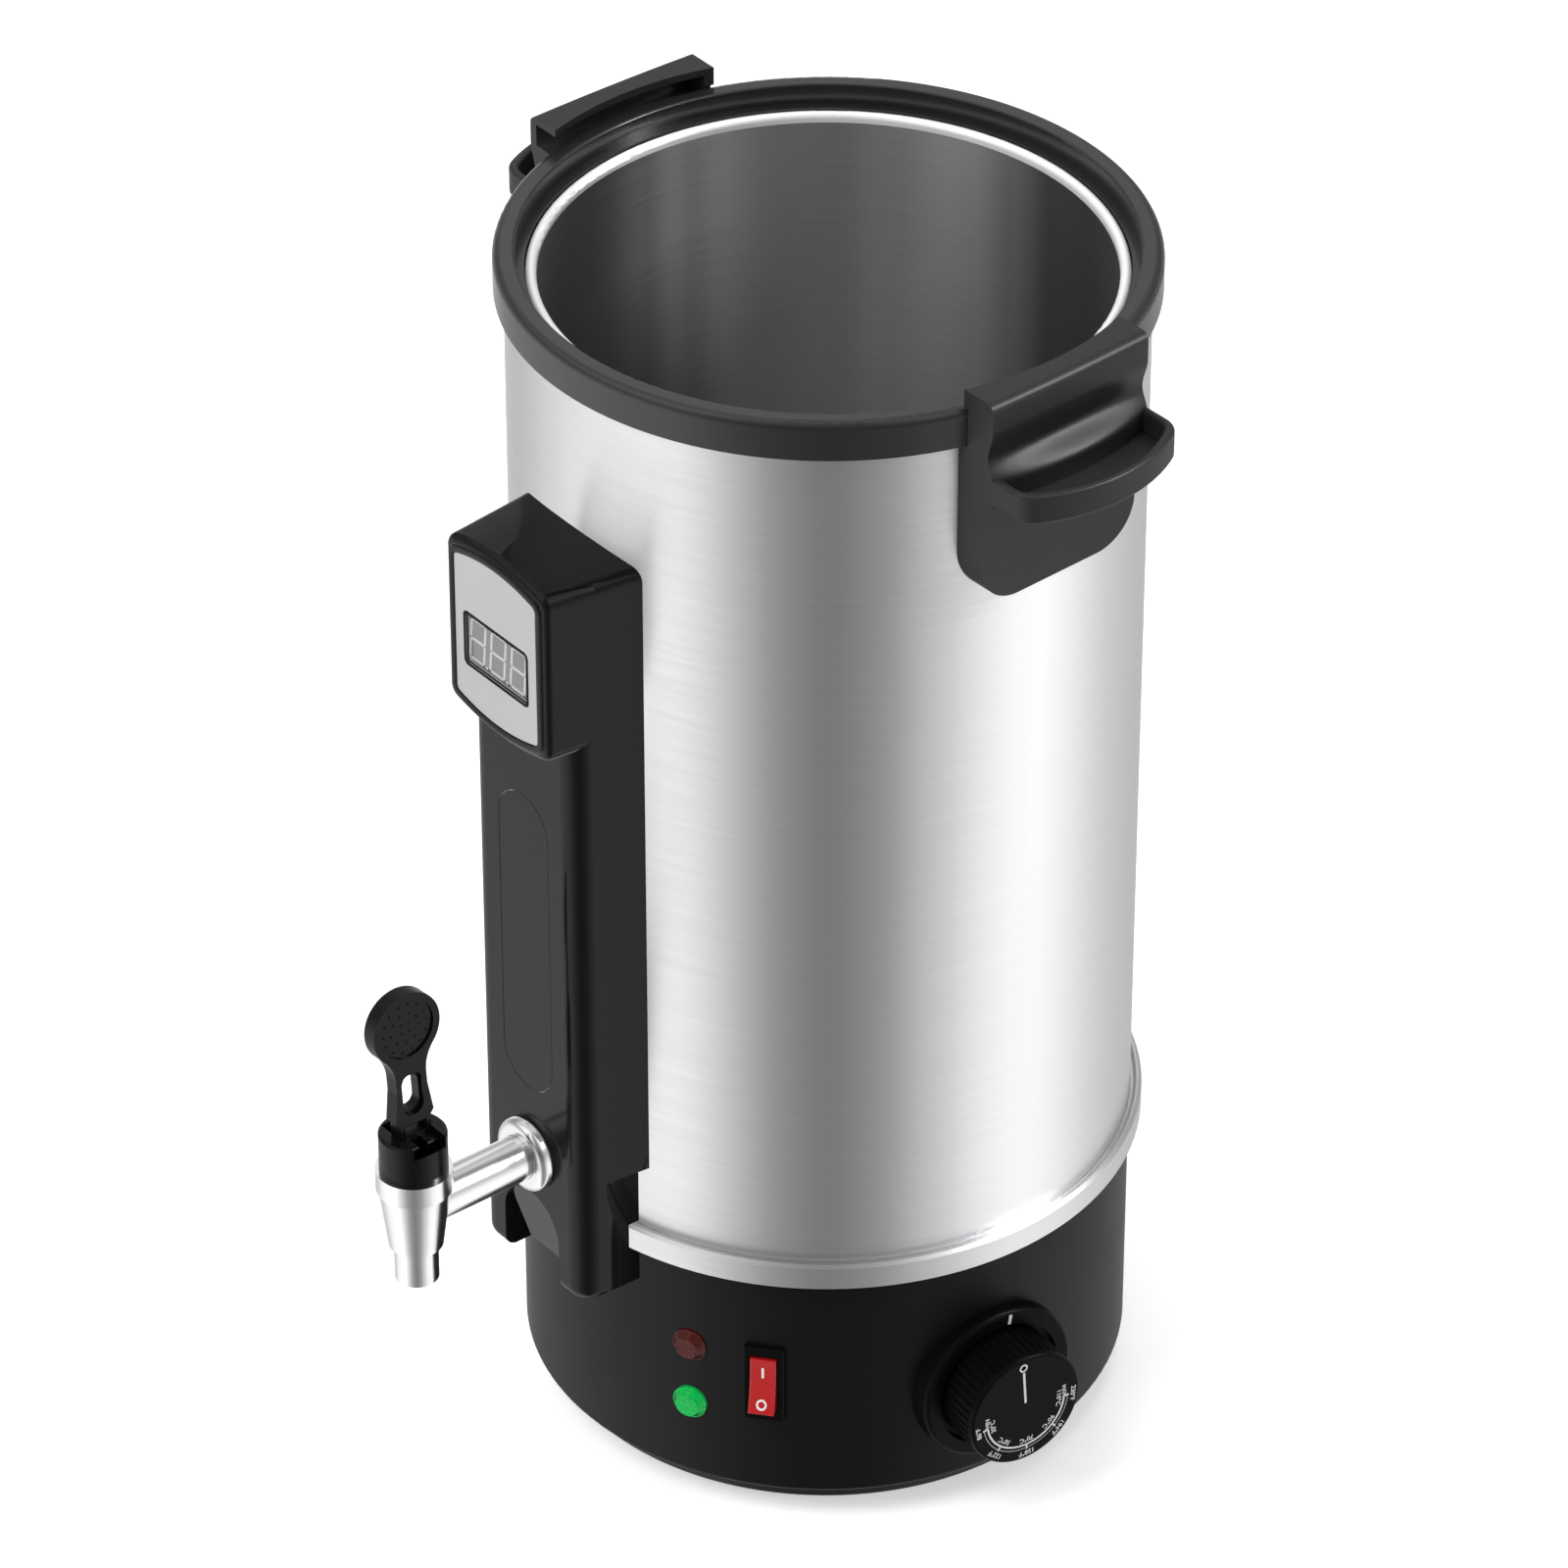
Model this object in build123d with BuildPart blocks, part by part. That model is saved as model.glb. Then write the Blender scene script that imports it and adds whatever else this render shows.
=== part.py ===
"""Wax melter: a double-walled steel tank that hangs in a plastic rim over a heated base, with a
lever tap, a display column and two hooked handles. Millimetres, +Z up, the front faces -Y."""

from build123d import *

import os
from math import cos, pi, radians, sin, sqrt

os.makedirs("parts", exist_ok=True)

# Every height is measured from the surface that the feet stand on, every reach from the tank's
# axis, and every azimuth about that axis from the front, turning towards +X.

# Tank: inner pot, outer shell, rim ring and trim band
ring_top = 447.0
ring_radius = 108.4
ring_bore = 101.2
ring_skirt = 13.4
ring_edge = 3.0
ring_ledge = 3.0
bead_gap = 0.3
lid_gap = 0.2
pot_rim_drop = 7.4
pot_bore = 94.2
pot_wall = 0.8
pot_bead = 1.8
pot_floor = 122.0
pot_corner = 9.0
shell_radius = 105.0
shell_wall = 0.7
shell_in_ring = 7.4
sheet_gap = 0.1
insulation_thickness = 4.0
insulation_bottom = 132.0
insulation_margin = 6.0
insulation_front_half = 26.0
band_radius = 109.0
band_height = 9.5
band_flange = 1.2
band_groove = 1.1

# Base: moulded shell, bottom plate and feet
base_radius = 104.8
base_wall = 3.0
base_bottom = 12.0
base_top = 104.0
base_edge = 2.0
base_lip = 2.5
base_lip_bore = 92.0
base_deck = 3.5
base_deck_bore = 94.0
bottom_plate_radius = 98.0
bottom_plate_wall = 2.5
foot_count = 4
foot_pitch_radius = 84.0
foot_radius = 9.0
foot_height = 6.5
foot_inset = 2.5
base_screw_count = 4
base_screw_pitch_radius = 80.0
base_boss_radius = 4.5
base_boss_height = 16.0
vent_count = 10
vent_pitch_radius = 48.0
vent_length = 30.0
vent_width = 4.0

# Heater under the pot
heater_radius = 72.0
heater_thickness = 6.0
element_pitch_radius = 55.0
element_wire = 3.3
element_gap_angle = 50.0
element_pin_radius = 1.6
element_pin_length = 20.0
clamp_length = 132.0
clamp_width = 20.0
clamp_thickness = 2.0
clamp_stud_radius = 3.0
clamp_stud_tail = 8.0
clamp_nut_radius = 5.8
clamp_nut_height = 5.0
cutout_offset = 31.0
cutout_radius = 8.0
cutout_height = 6.5
bulb_offset = 31.0
bulb_radius = 2.5
bulb_length = 66.0
capillary_radius = 0.8
capillary_drop = 46.0

# Dial and thermostat
dial_azimuth = 84.0
dial_height = 50.0
bezel_radius = 29.5
bezel_face = 109.5
bezel_floor = 107.0
bezel_recess_radius = 24.0
bezel_edge = 2.0
knob_radius = 22.0
knob_face = 126.0
knob_gap = 0.5
knob_wall = 2.0
knob_hub_radius = 6.0
knob_edge = 1.2
knob_grip_count = 48
knob_grip_radius = 0.7
shaft_radius = 3.0
shaft_fit = 0.05
thermostat_width = 36.0
thermostat_length = 30.0
thermostat_deep = 22.0
thermostat_neck_radius = 8.0
thermostat_face = 96.0
dial_screw_offset = 13.0
dial_screw_bite = 6.0
shaft_root = 84.0

# Power switch, lamps and mains inlet
switch_azimuth = 40.0
switch_height = 59.0
switch_width = 14.0
switch_length = 31.0
switch_flange = 1.6
switch_body_width = 11.6
switch_body_length = 27.0
switch_body_depth = 17.0
rocker_width = 9.0
rocker_length = 21.2
rocker_side_gap = 0.3
rocker_end_gap = 1.3
rocker_tilt = 10.0
rocker_pivot_depth = 3.0
rocker_rise = 3.4
rocker_dish = 1.6
rocker_pin_radius = 1.2
rocker_pin_length = 0.7
rocker_root = 5.0
switch_pocket = 11.0
lamp_azimuth = 25.5
lamp_heights = (69.0, 44.0)
lamp_radius = 6.2
lamp_flange = 1.2
lamp_dome = 2.4
lamp_body_radius = 5.0
lamp_body_depth = 18.0
lamp_nut_radius = 7.0
inlet_height = 56.0
inlet_face = 108.5
inlet_flange = 2.5
inlet_width = 50.0
inlet_length = 26.0
inlet_body_width = 28.0
inlet_body_length = 20.5
inlet_body_depth = 24.0
inlet_cavity_width = 24.6
inlet_cavity_length = 16.6
inlet_cavity_depth = 16.0
inlet_cavity_chamfer = 4.5
inlet_screw_pitch = 40.0
inlet_pin_pitch = 7.0
inlet_earth_rise = 4.0
inlet_pin_thick = 2.0
inlet_pin_length = 4.0
inlet_pin_inset = 2.0
boss_margin = 2.0
terminal_block_size = (38.0, 18.0, 16.0)
terminal_well = 2.5
blade_width = 4.8
blade_thickness = 0.8
blade_length = 8.0
blade_seat = 4.0
terminal_block_place = (-20.0, 30.0)

# Screws: head radius, head height, shank radius
small_screw = (2.8, 1.4, 1.5)
large_screw = (3.8, 2.2, 2.0)
screw_clearance = 0.1

# Display column
column_bottom = 89.0
column_front = 127.0
column_back_reach = 100.0
column_half_width = 31.0
column_side_slope = 0.125
column_wall = 2.6
column_corner = 8.0
column_to_shell = 0.15
head_front = 136.0
head_top = 377.5
head_bottom = 316.0
head_crown = 4.0
head_corner = 5.0
head_edge = 2.6
column_foot_edge = 5.0
head_blend = 6.0
scoop_half_width = 15.0
scoop_top = 122.0
scoop_depth = 11.0
notch_top = 138.0
notch_reach = 117.0
notch_half_width = 26.5
grip_panel_width = 26.0
grip_panel_length = 119.0
grip_panel_height = 226.0
grip_panel_thickness = 1.2
grip_panel_gap = 0.35
plate_half = 23.3
plate_gap = 0.2
plate_margin = 3.2
plate_thickness = 0.8
plate_proud = 0.3
plate_corner = 3.5
window_width = 33.0
window_length = 19.6
window_height = 343.0
window_thickness = 1.6
window_gap = 0.2
module_width = 37.6
module_length = 22.0
module_depth = 7.0
board_width = 42.0
board_length = 44.0
board_thickness = 1.6
column_screw_heights = (150.0, 290.0)
column_screw_offset = 20.0
column_boss_radius = 4.0
column_boss_floor = 2.0
column_boss_foot = 98.0
column_screw_seat = 101.7
column_screw_length = 14.0
probe_height = 168.0
probe_radius = 3.0
probe_flange_radius = 7.0
probe_flange_thickness = 1.5
probe_length = 16.0

# Tap
tap_reach = 175.0
shank_height = 139.0
shank_radius = 8.0
thread_radius = 6.0
thread_gap = 0.2
shank_bore = 4.2
thread_end = 83.0
flange_radius = 13.2
flange_thickness = 4.0
flange_recess = 2.0
gasket_thickness = 1.0
nut_radius = 10.5
nut_thickness = 6.0
washer_radius = 10.5
washer_thickness = 2.0
cup_radius = 13.0
cup_rise = 17.0
cup_ring = 8.0
cup_neck_radius = 12.2
cup_foot_radius = 9.3
nozzle_radius = 7.5
nozzle_top_drop = 14.5
nozzle_bottom_drop = 28.5
nozzle_bore = 5.0
valve_seat_drop = 11.0
chamber_radius = 8.0
bonnet_radius = 11.6
bonnet_spigot_radius = 10.2
bonnet_spigot = 7.0
bonnet_height = 15.0
bonnet_slot_half = 6.5
bonnet_slot_reach = 8.6
pivot_rise = 8.0
pivot_floor = 7.2
pivot_radius = 1.5
pivot_inner_x = 2.2
pivot_reach_x = 10.5
lever_azimuth = 90.0
lever_lean = 5.0
lever_thickness = 5.6
lever_edge = 1.3
lever_head_radius = 13.3
lever_rise = 86.0
lever_neck_width = 12.3
lever_shoulder_width = 16.0
lever_flare = 13.0
lever_foot_width = 12.4
lever_shoulder_rise = 36.5
lever_waist_radius = 14.0
lever_shoulder_cut = 2.0
lever_cam_half = 6.0
lever_cam_rise = 4.5
lever_cam_drop = 3.0
lever_window_roof = 11.0
lever_window_half = 4.3
lever_slot_half = 1.9
lever_recess_depth = 0.8
lever_rim = 2.6
neck_slot_width = 6.6
neck_slot_length = 13.0
neck_recess_width = 8.2
neck_recess_length = 16.4
neck_recess_depth = 1.5
neck_slot_rise = 47.5
stem_radius = 1.5
stem_gap = 0.2
stem_head = (8.0, 4.0, 2.5)
running_gap = 0.3
plug_radius = 6.5
plug_thickness = 4.0
plug_gap = 0.2
collar_radius = 6.0
collar_thickness = 2.0
spring_radius = 4.6
spring_wall = 1.2

# Handles
handle_azimuths = (270.0, 92.5)
handle_half_width = 33.0
handle_outer = 116.0
handle_inner_gap = 0.3
handle_top_rise = 6.9
handle_top_edge = 3.0
hook_thickness = 2.5
hook_bore = 107.0
hook_wall = 3.8
hook_stop = 3.0
hook_channel_drop = 3.5
ledge_reach = 140.0
ledge_bow = 10.0
ledge_top_drop = 20.0
ledge_depth = 10.5
ledge_corner = 9.0
ledge_wall = 2.8
ledge_edge = 1.3
trough_depth = 8.3
handle_plate_setback = 5.0
handle_plate_drop = 71.5
handle_plate_corner = 16.0
handle_bow = 0.6
brow_proud = 4.4
brow_bow = 4.6
brow_drop = 2.5
cove_depth = 2.2
cove_rise = 6.5
cove_top = 17.0
face_steps = 13
handle_screw_drops = (42.0, 60.0)
handle_screw_reach = 109.6
handle_screw_seat = 102.9
bracket_half_width = 18.0
bracket_thickness = 1.2
bracket_margin = 8.0

# What follows from the driving dimensions
front_reach = tap_reach + cup_radius
rear_reach = inlet_face + small_screw[1]
tank_y = (front_reach - rear_reach) / 2
TANK = Plane((0, tank_y, 0))
TAP = Plane((0, tank_y - tap_reach, 0))
TANK_AXIS = Axis((0, tank_y, 0), (0, 0, 1))

pot_rim = ring_top - pot_rim_drop
pot_depth = pot_rim - pot_floor
pot_radius = pot_bore + pot_wall
pot_seat = pot_rim - 2 * pot_bead
ring_bottom = ring_top - ring_skirt
shell_bottom = base_top + band_flange
shell_bore = shell_radius - shell_wall
plate_bottom = foot_height - foot_inset
heater_bottom = pot_floor - pot_wall - heater_thickness
washer_face = pot_bore - sqrt(pot_bore**2 - washer_radius**2)
washer_reach = pot_bore - washer_face
cup_top = shank_height + cup_rise
nozzle_top = shank_height - nozzle_top_drop
nozzle_bottom = shank_height - nozzle_bottom_drop
valve_seat = shank_height - valve_seat_drop
lever_top = shank_height + lever_rise
lever_shoulder = shank_height + lever_shoulder_rise
neck_slot_height = shank_height + neck_slot_rise
plate_high = head_top - plate_margin
plate_low = head_bottom + plate_margin


def outward(azimuth, height, reach, aside=0.0):
    """A plane that faces away from the tank's axis, with its local y upwards, moved aside along x."""
    a = radians(azimuth)
    return Plane(
        (reach * sin(a) + aside * cos(a), tank_y - reach * cos(a) + aside * sin(a), height),
        x_dir=(cos(a), sin(a), 0),
        z_dir=(sin(a), -cos(a), 0),
    )


def upright(angle):
    """A vertical plane through the tank's axis, turned about it by angle, with its local y upwards."""
    a = radians(angle)
    return Plane((0, tank_y, 0), x_dir=(cos(a), sin(a), 0), z_dir=(sin(a), -cos(a), 0))


def add_screw(seat, size, length):
    """Adds a pan-head screw to the part being built, its head on the seat's outward side."""
    head_radius, head_height, shank = size
    with Locations(seat):
        Cylinder(head_radius, head_height, align=(Align.CENTER, Align.CENTER, Align.MIN))
        Cylinder(shank, length, align=(Align.CENTER, Align.CENTER, Align.MAX))


def cut_bore(seat, radius, depth, forward=0.0):
    """Cuts a round hole into the part being built, from just outside the seat plane inwards."""
    with Locations(seat.offset(forward)):
        Cylinder(
            radius,
            depth + forward,
            align=(Align.CENTER, Align.CENTER, Align.MAX),
            mode=Mode.SUBTRACT,
        )


def save(piece, name):
    """Labels a finished piece and writes it under its own name."""
    piece.part.label = name
    export_step(piece.part, f"parts/{name}.step")


# Inner pot: a drawn steel vessel with a rolled bead round its mouth and a hole for the tap
with BuildPart() as inner_pot:
    with BuildSketch(TANK.offset(pot_floor - pot_wall)):
        Circle(pot_radius)
    extrude(amount=pot_depth + pot_wall - pot_bead)
    fillet(inner_pot.edges().sort_by(Axis.Z)[0], pot_corner)
    offset(amount=-pot_wall, openings=inner_pot.faces().sort_by(Axis.Z)[-1])
    with BuildSketch(upright(0)):
        with Locations((pot_bore + pot_bead, pot_rim - pot_bead)):
            Circle(pot_bead)
    revolve(axis=TANK_AXIS)
    cut_bore(outward(0, shank_height, pot_radius), thread_radius + thread_gap, 4 * pot_wall, forward=2)
save(inner_pot, "inner_pot")

# Rim ring: a moulded ring that hooks over the shell, with a groove for the pot's bead and a seat for a lid
with BuildPart() as rim_ring:
    with BuildSketch(upright(0)):
        with BuildLine():
            Polyline(
                (ring_bore, ring_top),
                (ring_radius, ring_top),
                (ring_radius, ring_bottom),
                (shell_radius + sheet_gap, ring_bottom),
                (shell_radius + sheet_gap, ring_bottom + shell_in_ring),
                (shell_bore - sheet_gap, ring_bottom + shell_in_ring),
                (shell_bore - sheet_gap, pot_seat - ring_ledge),
                (pot_radius + 4 * sheet_gap, pot_seat - ring_ledge),
                (pot_radius + 4 * sheet_gap, pot_seat),
                (pot_bore + 2 * pot_bead + bead_gap, pot_seat),
                (pot_bore + 2 * pot_bead + bead_gap, pot_rim + lid_gap),
                (ring_bore, pot_rim + lid_gap),
                close=True,
            )
        make_face()
    revolve(axis=TANK_AXIS)
    top_edges = rim_ring.edges().group_by(Axis.Z)[-1].sort_by(SortBy.RADIUS)
    fillet(top_edges[-1], ring_edge)
    fillet(top_edges[0], ring_edge / 4)
save(rim_ring, "rim_ring")

# Outer shell: a rolled steel tube, pierced for the tap, the probe and every screw that holds on to it
with BuildPart() as outer_shell:
    with BuildSketch(TANK.offset(shell_bottom)):
        Circle(shell_radius)
        Circle(shell_bore, mode=Mode.SUBTRACT)
    extrude(amount=ring_bottom + shell_in_ring - shell_bottom)
    cut_bore(outward(0, shank_height, shell_radius), thread_radius + thread_gap, 4, forward=2)
    cut_bore(outward(0, probe_height, shell_radius), probe_radius + screw_clearance, 4, forward=2)
    for height in column_screw_heights:
        for side in (-1, 1):
            hole = outward(0, height, shell_radius, side * column_screw_offset)
            cut_bore(hole, small_screw[2] + screw_clearance, 12, forward=2)
    for azimuth in handle_azimuths:
        for drop in handle_screw_drops:
            cut_bore(
                outward(azimuth, ring_top - drop, shell_radius),
                large_screw[2] + screw_clearance,
                4,
                forward=2,
            )
save(outer_shell, "outer_shell")

# Insulation: a wrap of felt round the pot, open at the front behind the column
with BuildPart() as insulation_sleeve:
    insulation_top = pot_seat - ring_ledge - insulation_margin
    with BuildSketch(TANK.offset(insulation_bottom)):
        Circle(pot_radius + 4 * sheet_gap + insulation_thickness)
        Circle(pot_radius + 4 * sheet_gap, mode=Mode.SUBTRACT)
        with Locations((0, -pot_radius)):
            Rectangle(2 * insulation_front_half, pot_radius, mode=Mode.SUBTRACT)
    extrude(amount=insulation_top - insulation_bottom)
save(insulation_sleeve, "insulation_sleeve")

# Trim band: a chromed ring with an inner flange that the shell stands on
with BuildPart() as trim_band:
    with BuildSketch(upright(0)):
        with BuildLine():
            Polyline(
                (base_deck_bore + 3, base_top),
                (band_radius, base_top),
                (band_radius, base_top + band_height - band_groove),
                (band_radius - band_groove, base_top + band_height),
                (shell_radius + 2 * band_groove, base_top + band_height),
                (shell_radius + band_groove, base_top + band_height - band_groove),
                (shell_radius + sheet_gap, base_top + band_height - band_groove),
                (shell_radius + sheet_gap, shell_bottom),
                (base_deck_bore + 3, shell_bottom),
                close=True,
            )
        make_face()
    revolve(axis=TANK_AXIS)
save(trim_band, "trim_band")

# Base shell: a moulded drum with a deck on top, a lip below, a flat pad for the mains inlet and
# openings for the controls
with BuildPart() as base_shell:
    with BuildSketch(TANK.offset(base_bottom)):
        Circle(base_radius)
    extrude(amount=base_top - base_bottom)
    fillet(base_shell.edges().sort_by(Axis.Z)[0], base_edge)
    inlet_pad = outward(180, inlet_height, inlet_face - inlet_flange)
    with BuildSketch(inlet_pad):
        RectangleRounded(inlet_width + 2 * boss_margin, inlet_length + 2 * boss_margin, 4)
    extrude(amount=-10)
    with BuildSketch(TANK.offset(base_bottom + base_lip)):
        Circle(base_radius - base_wall)
    extrude(amount=base_top - base_deck - base_bottom - base_lip, mode=Mode.SUBTRACT)
    with BuildSketch(TANK.offset(base_bottom)):
        Circle(base_lip_bore)
    extrude(amount=base_lip, mode=Mode.SUBTRACT)
    with BuildSketch(TANK.offset(base_top)):
        Circle(base_deck_bore)
    extrude(amount=-base_deck, mode=Mode.SUBTRACT)
    with BuildSketch(TANK.offset(base_bottom)):
        with PolarLocations(base_screw_pitch_radius, base_screw_count, start_angle=45):
            Circle(base_boss_radius)
        for angle in (45, 135, 225, 315):
            with Locations(
                (
                    (base_lip_bore + base_screw_pitch_radius) / 2 * cos(radians(angle)),
                    (base_lip_bore + base_screw_pitch_radius) / 2 * sin(radians(angle)),
                )
            ):
                Rectangle(base_lip_bore - base_screw_pitch_radius + 2, base_wall, rotation=angle)
    extrude(amount=base_boss_height)
    with Locations(TANK.offset(base_bottom)):
        with PolarLocations(base_screw_pitch_radius, base_screw_count, start_angle=45):
            Cylinder(
                small_screw[2] + screw_clearance,
                base_boss_height - 2,
                align=(Align.CENTER, Align.CENTER, Align.MIN),
                mode=Mode.SUBTRACT,
            )
    cut_bore(
        outward(dial_azimuth, dial_height, base_radius), thermostat_neck_radius + sheet_gap, 8, forward=2
    )
    for side in (-1, 1):
        hole = outward(dial_azimuth, dial_height, base_radius, side * dial_screw_offset)
        cut_bore(hole, small_screw[2] + screw_clearance, 8, forward=2)
    with BuildSketch(outward(switch_azimuth, switch_height, base_radius + 2)):
        Rectangle(switch_body_width + 2 * sheet_gap, switch_body_length + 2 * sheet_gap)
    extrude(amount=-8, mode=Mode.SUBTRACT)
    for height in lamp_heights:
        cut_bore(outward(lamp_azimuth, height, base_radius), lamp_body_radius + sheet_gap, 8, forward=2)
    with BuildSketch(inlet_pad):
        Rectangle(inlet_body_width + 2 * sheet_gap, inlet_body_length + 2 * sheet_gap)
    extrude(amount=-12, mode=Mode.SUBTRACT)
    for side in (-1, 1):
        hole = outward(180, inlet_height, inlet_face - inlet_flange, side * inlet_screw_pitch / 2)
        cut_bore(hole, small_screw[2] + screw_clearance, 12, forward=2)
save(base_shell, "base_shell")

# Bottom plate: a ribbed tray with vents, screwed to the base shell's bosses
with BuildPart() as base_plate:
    with BuildSketch(TANK.offset(plate_bottom)):
        Circle(bottom_plate_radius)
    extrude(amount=base_bottom - plate_bottom)
    chamfer(base_plate.edges().sort_by(Axis.Z)[0], 1)
    with BuildSketch(TANK.offset(plate_bottom + bottom_plate_wall)):
        Circle(bottom_plate_radius - bottom_plate_wall)
        with PolarLocations(base_screw_pitch_radius, base_screw_count, start_angle=45):
            Circle(base_boss_radius, mode=Mode.SUBTRACT)
    extrude(amount=base_bottom - plate_bottom - bottom_plate_wall, mode=Mode.SUBTRACT)
    with BuildSketch(TANK.offset(plate_bottom)):
        with PolarLocations(vent_pitch_radius, vent_count):
            SlotOverall(vent_length, vent_width)
    extrude(amount=bottom_plate_wall, mode=Mode.SUBTRACT)
    with Locations(TANK.offset(plate_bottom)):
        with PolarLocations(base_screw_pitch_radius, base_screw_count, start_angle=45):
            Cylinder(
                small_screw[2] + screw_clearance,
                base_bottom - plate_bottom,
                align=(Align.CENTER, Align.CENTER, Align.MIN),
                mode=Mode.SUBTRACT,
            )
        with PolarLocations(foot_pitch_radius, foot_count):
            Cylinder(
                foot_radius + screw_clearance,
                foot_inset / 2,
                align=(Align.CENTER, Align.CENTER, Align.MIN),
                mode=Mode.SUBTRACT,
            )
            Cylinder(
                small_screw[2] + screw_clearance,
                bottom_plate_wall,
                align=(Align.CENTER, Align.CENTER, Align.MIN),
                mode=Mode.SUBTRACT,
            )
save(base_plate, "base_plate")

# Rubber feet: tapered pads let into the bottom plate, each with a hollow for its screw
foot_top = plate_bottom + foot_inset / 2
with BuildPart() as rubber_feet:
    with BuildSketch(TANK.offset(foot_top)):
        with PolarLocations(foot_pitch_radius, foot_count):
            Circle(foot_radius)
    extrude(amount=-foot_top, taper=8)
    with Locations(TANK):
        with PolarLocations(foot_pitch_radius, foot_count):
            Cylinder(
                small_screw[0] + 4 * screw_clearance,
                foot_top - foot_inset,
                align=(Align.CENTER, Align.CENTER, Align.MIN),
                mode=Mode.SUBTRACT,
            )
            Cylinder(
                small_screw[2] + screw_clearance,
                foot_top,
                align=(Align.CENTER, Align.CENTER, Align.MIN),
                mode=Mode.SUBTRACT,
            )
save(rubber_feet, "rubber_feet")

# Screws under the base: one through each foot, one into each boss
with BuildPart() as foot_screws:
    for index in range(foot_count):
        angle = radians(360 * index / foot_count)
        seat = Plane(
            (foot_pitch_radius * cos(angle), tank_y + foot_pitch_radius * sin(angle), foot_top - foot_inset),
            z_dir=(0, 0, -1),
        )
        add_screw(seat, small_screw, foot_inset + bottom_plate_wall + 2)
save(foot_screws, "foot_screws")

with BuildPart() as base_screws:
    for index in range(base_screw_count):
        angle = radians(45 + 360 * index / base_screw_count)
        seat = Plane(
            (base_screw_pitch_radius * cos(angle), tank_y + base_screw_pitch_radius * sin(angle), plate_bottom),
            z_dir=(0, 0, -1),
        )
        add_screw(seat, small_screw, base_bottom - plate_bottom + base_boss_height - 4)
save(base_screws, "base_screws")

# Heater: an aluminium plate under the pot, a sheathed ring element with two cold pins, and the
# strap, stud and nut that press them up
with BuildPart() as heater_plate:
    with BuildSketch(TANK.offset(heater_bottom)):
        Circle(heater_radius)
        Circle(clamp_stud_radius, mode=Mode.SUBTRACT)
    extrude(amount=heater_thickness)
    chamfer(heater_plate.edges().group_by(Axis.Z)[0].sort_by(SortBy.RADIUS)[-1], 1)
save(heater_plate, "heater_plate")

element_height = heater_bottom - element_wire
with BuildPart() as heating_element:
    with BuildSketch(upright(element_gap_angle / 2)):
        with Locations((element_pitch_radius, element_height)):
            Circle(element_wire)
    revolve(axis=TANK_AXIS, revolution_arc=360 - element_gap_angle)
    with BuildSketch(TANK.offset(element_height)):
        for side in (-1, 1):
            angle = radians(side * element_gap_angle / 2)
            with Locations((element_pitch_radius * cos(angle), element_pitch_radius * sin(angle))):
                Circle(element_pin_radius)
    extrude(amount=-element_pin_length)
save(heating_element, "heating_element")

clamp_top = element_height - element_wire
with BuildPart() as heater_clamp:
    with BuildSketch(TANK.offset(clamp_top)):
        SlotOverall(clamp_length, clamp_width)
    extrude(amount=-clamp_thickness)
    with BuildSketch(TANK.offset(clamp_top - clamp_thickness)):
        RegularPolygon(clamp_nut_radius, 6)
    extrude(amount=-clamp_nut_height)
    with BuildSketch(TANK.offset(clamp_top - clamp_thickness - clamp_nut_height - clamp_stud_tail)):
        Circle(clamp_stud_radius)
    extrude(amount=clamp_stud_tail + clamp_nut_height + clamp_thickness + 2 * element_wire + heater_thickness)
save(heater_clamp, "heater_clamp")

# Thermal cut-out: a disc thermostat with two blades, flat against the heater plate
with BuildPart() as thermal_cutout:
    with BuildSketch(TANK.offset(heater_bottom)):
        with Locations((0, cutout_offset)):
            Circle(cutout_radius)
    extrude(amount=-cutout_height)
    with BuildSketch(TANK.offset(heater_bottom - cutout_height)):
        with Locations((-cutout_radius / 2, cutout_offset), (cutout_radius / 2, cutout_offset)):
            Rectangle(blade_thickness, blade_width)
    extrude(amount=-blade_length)
save(thermal_cutout, "thermal_cutout")

# Thermostat: a body behind the base wall, its neck through the wall, and a bulb held under the
# heater plate at the end of a capillary tube
dial_wall = outward(dial_azimuth, dial_height, 0)
with BuildPart() as thermostat_body:
    with BuildSketch(dial_wall.offset(thermostat_face)):
        RectangleRounded(thermostat_width, thermostat_length, 3)
    extrude(amount=-thermostat_deep)
    with BuildSketch(dial_wall.offset(thermostat_face)):
        Circle(thermostat_neck_radius)
    extrude(amount=sqrt(base_radius**2 - thermostat_neck_radius**2) - thermostat_face)
    with BuildSketch(dial_wall.offset(thermostat_face - thermostat_deep)):
        with Locations((-thermostat_width / 4, 0), (thermostat_width / 4, 0)):
            Rectangle(blade_thickness, blade_width)
    extrude(amount=-blade_length)
    cut_bore(dial_wall.offset(base_radius), shaft_radius + shaft_fit, base_radius - shaft_root, forward=2)
    for side in (-1, 1):
        screw_hole = outward(dial_azimuth, dial_height, thermostat_face, side * dial_screw_offset)
        cut_bore(screw_hole, small_screw[2] + screw_clearance / 2, dial_screw_bite, forward=2)
save(thermostat_body, "thermostat_body")

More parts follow.
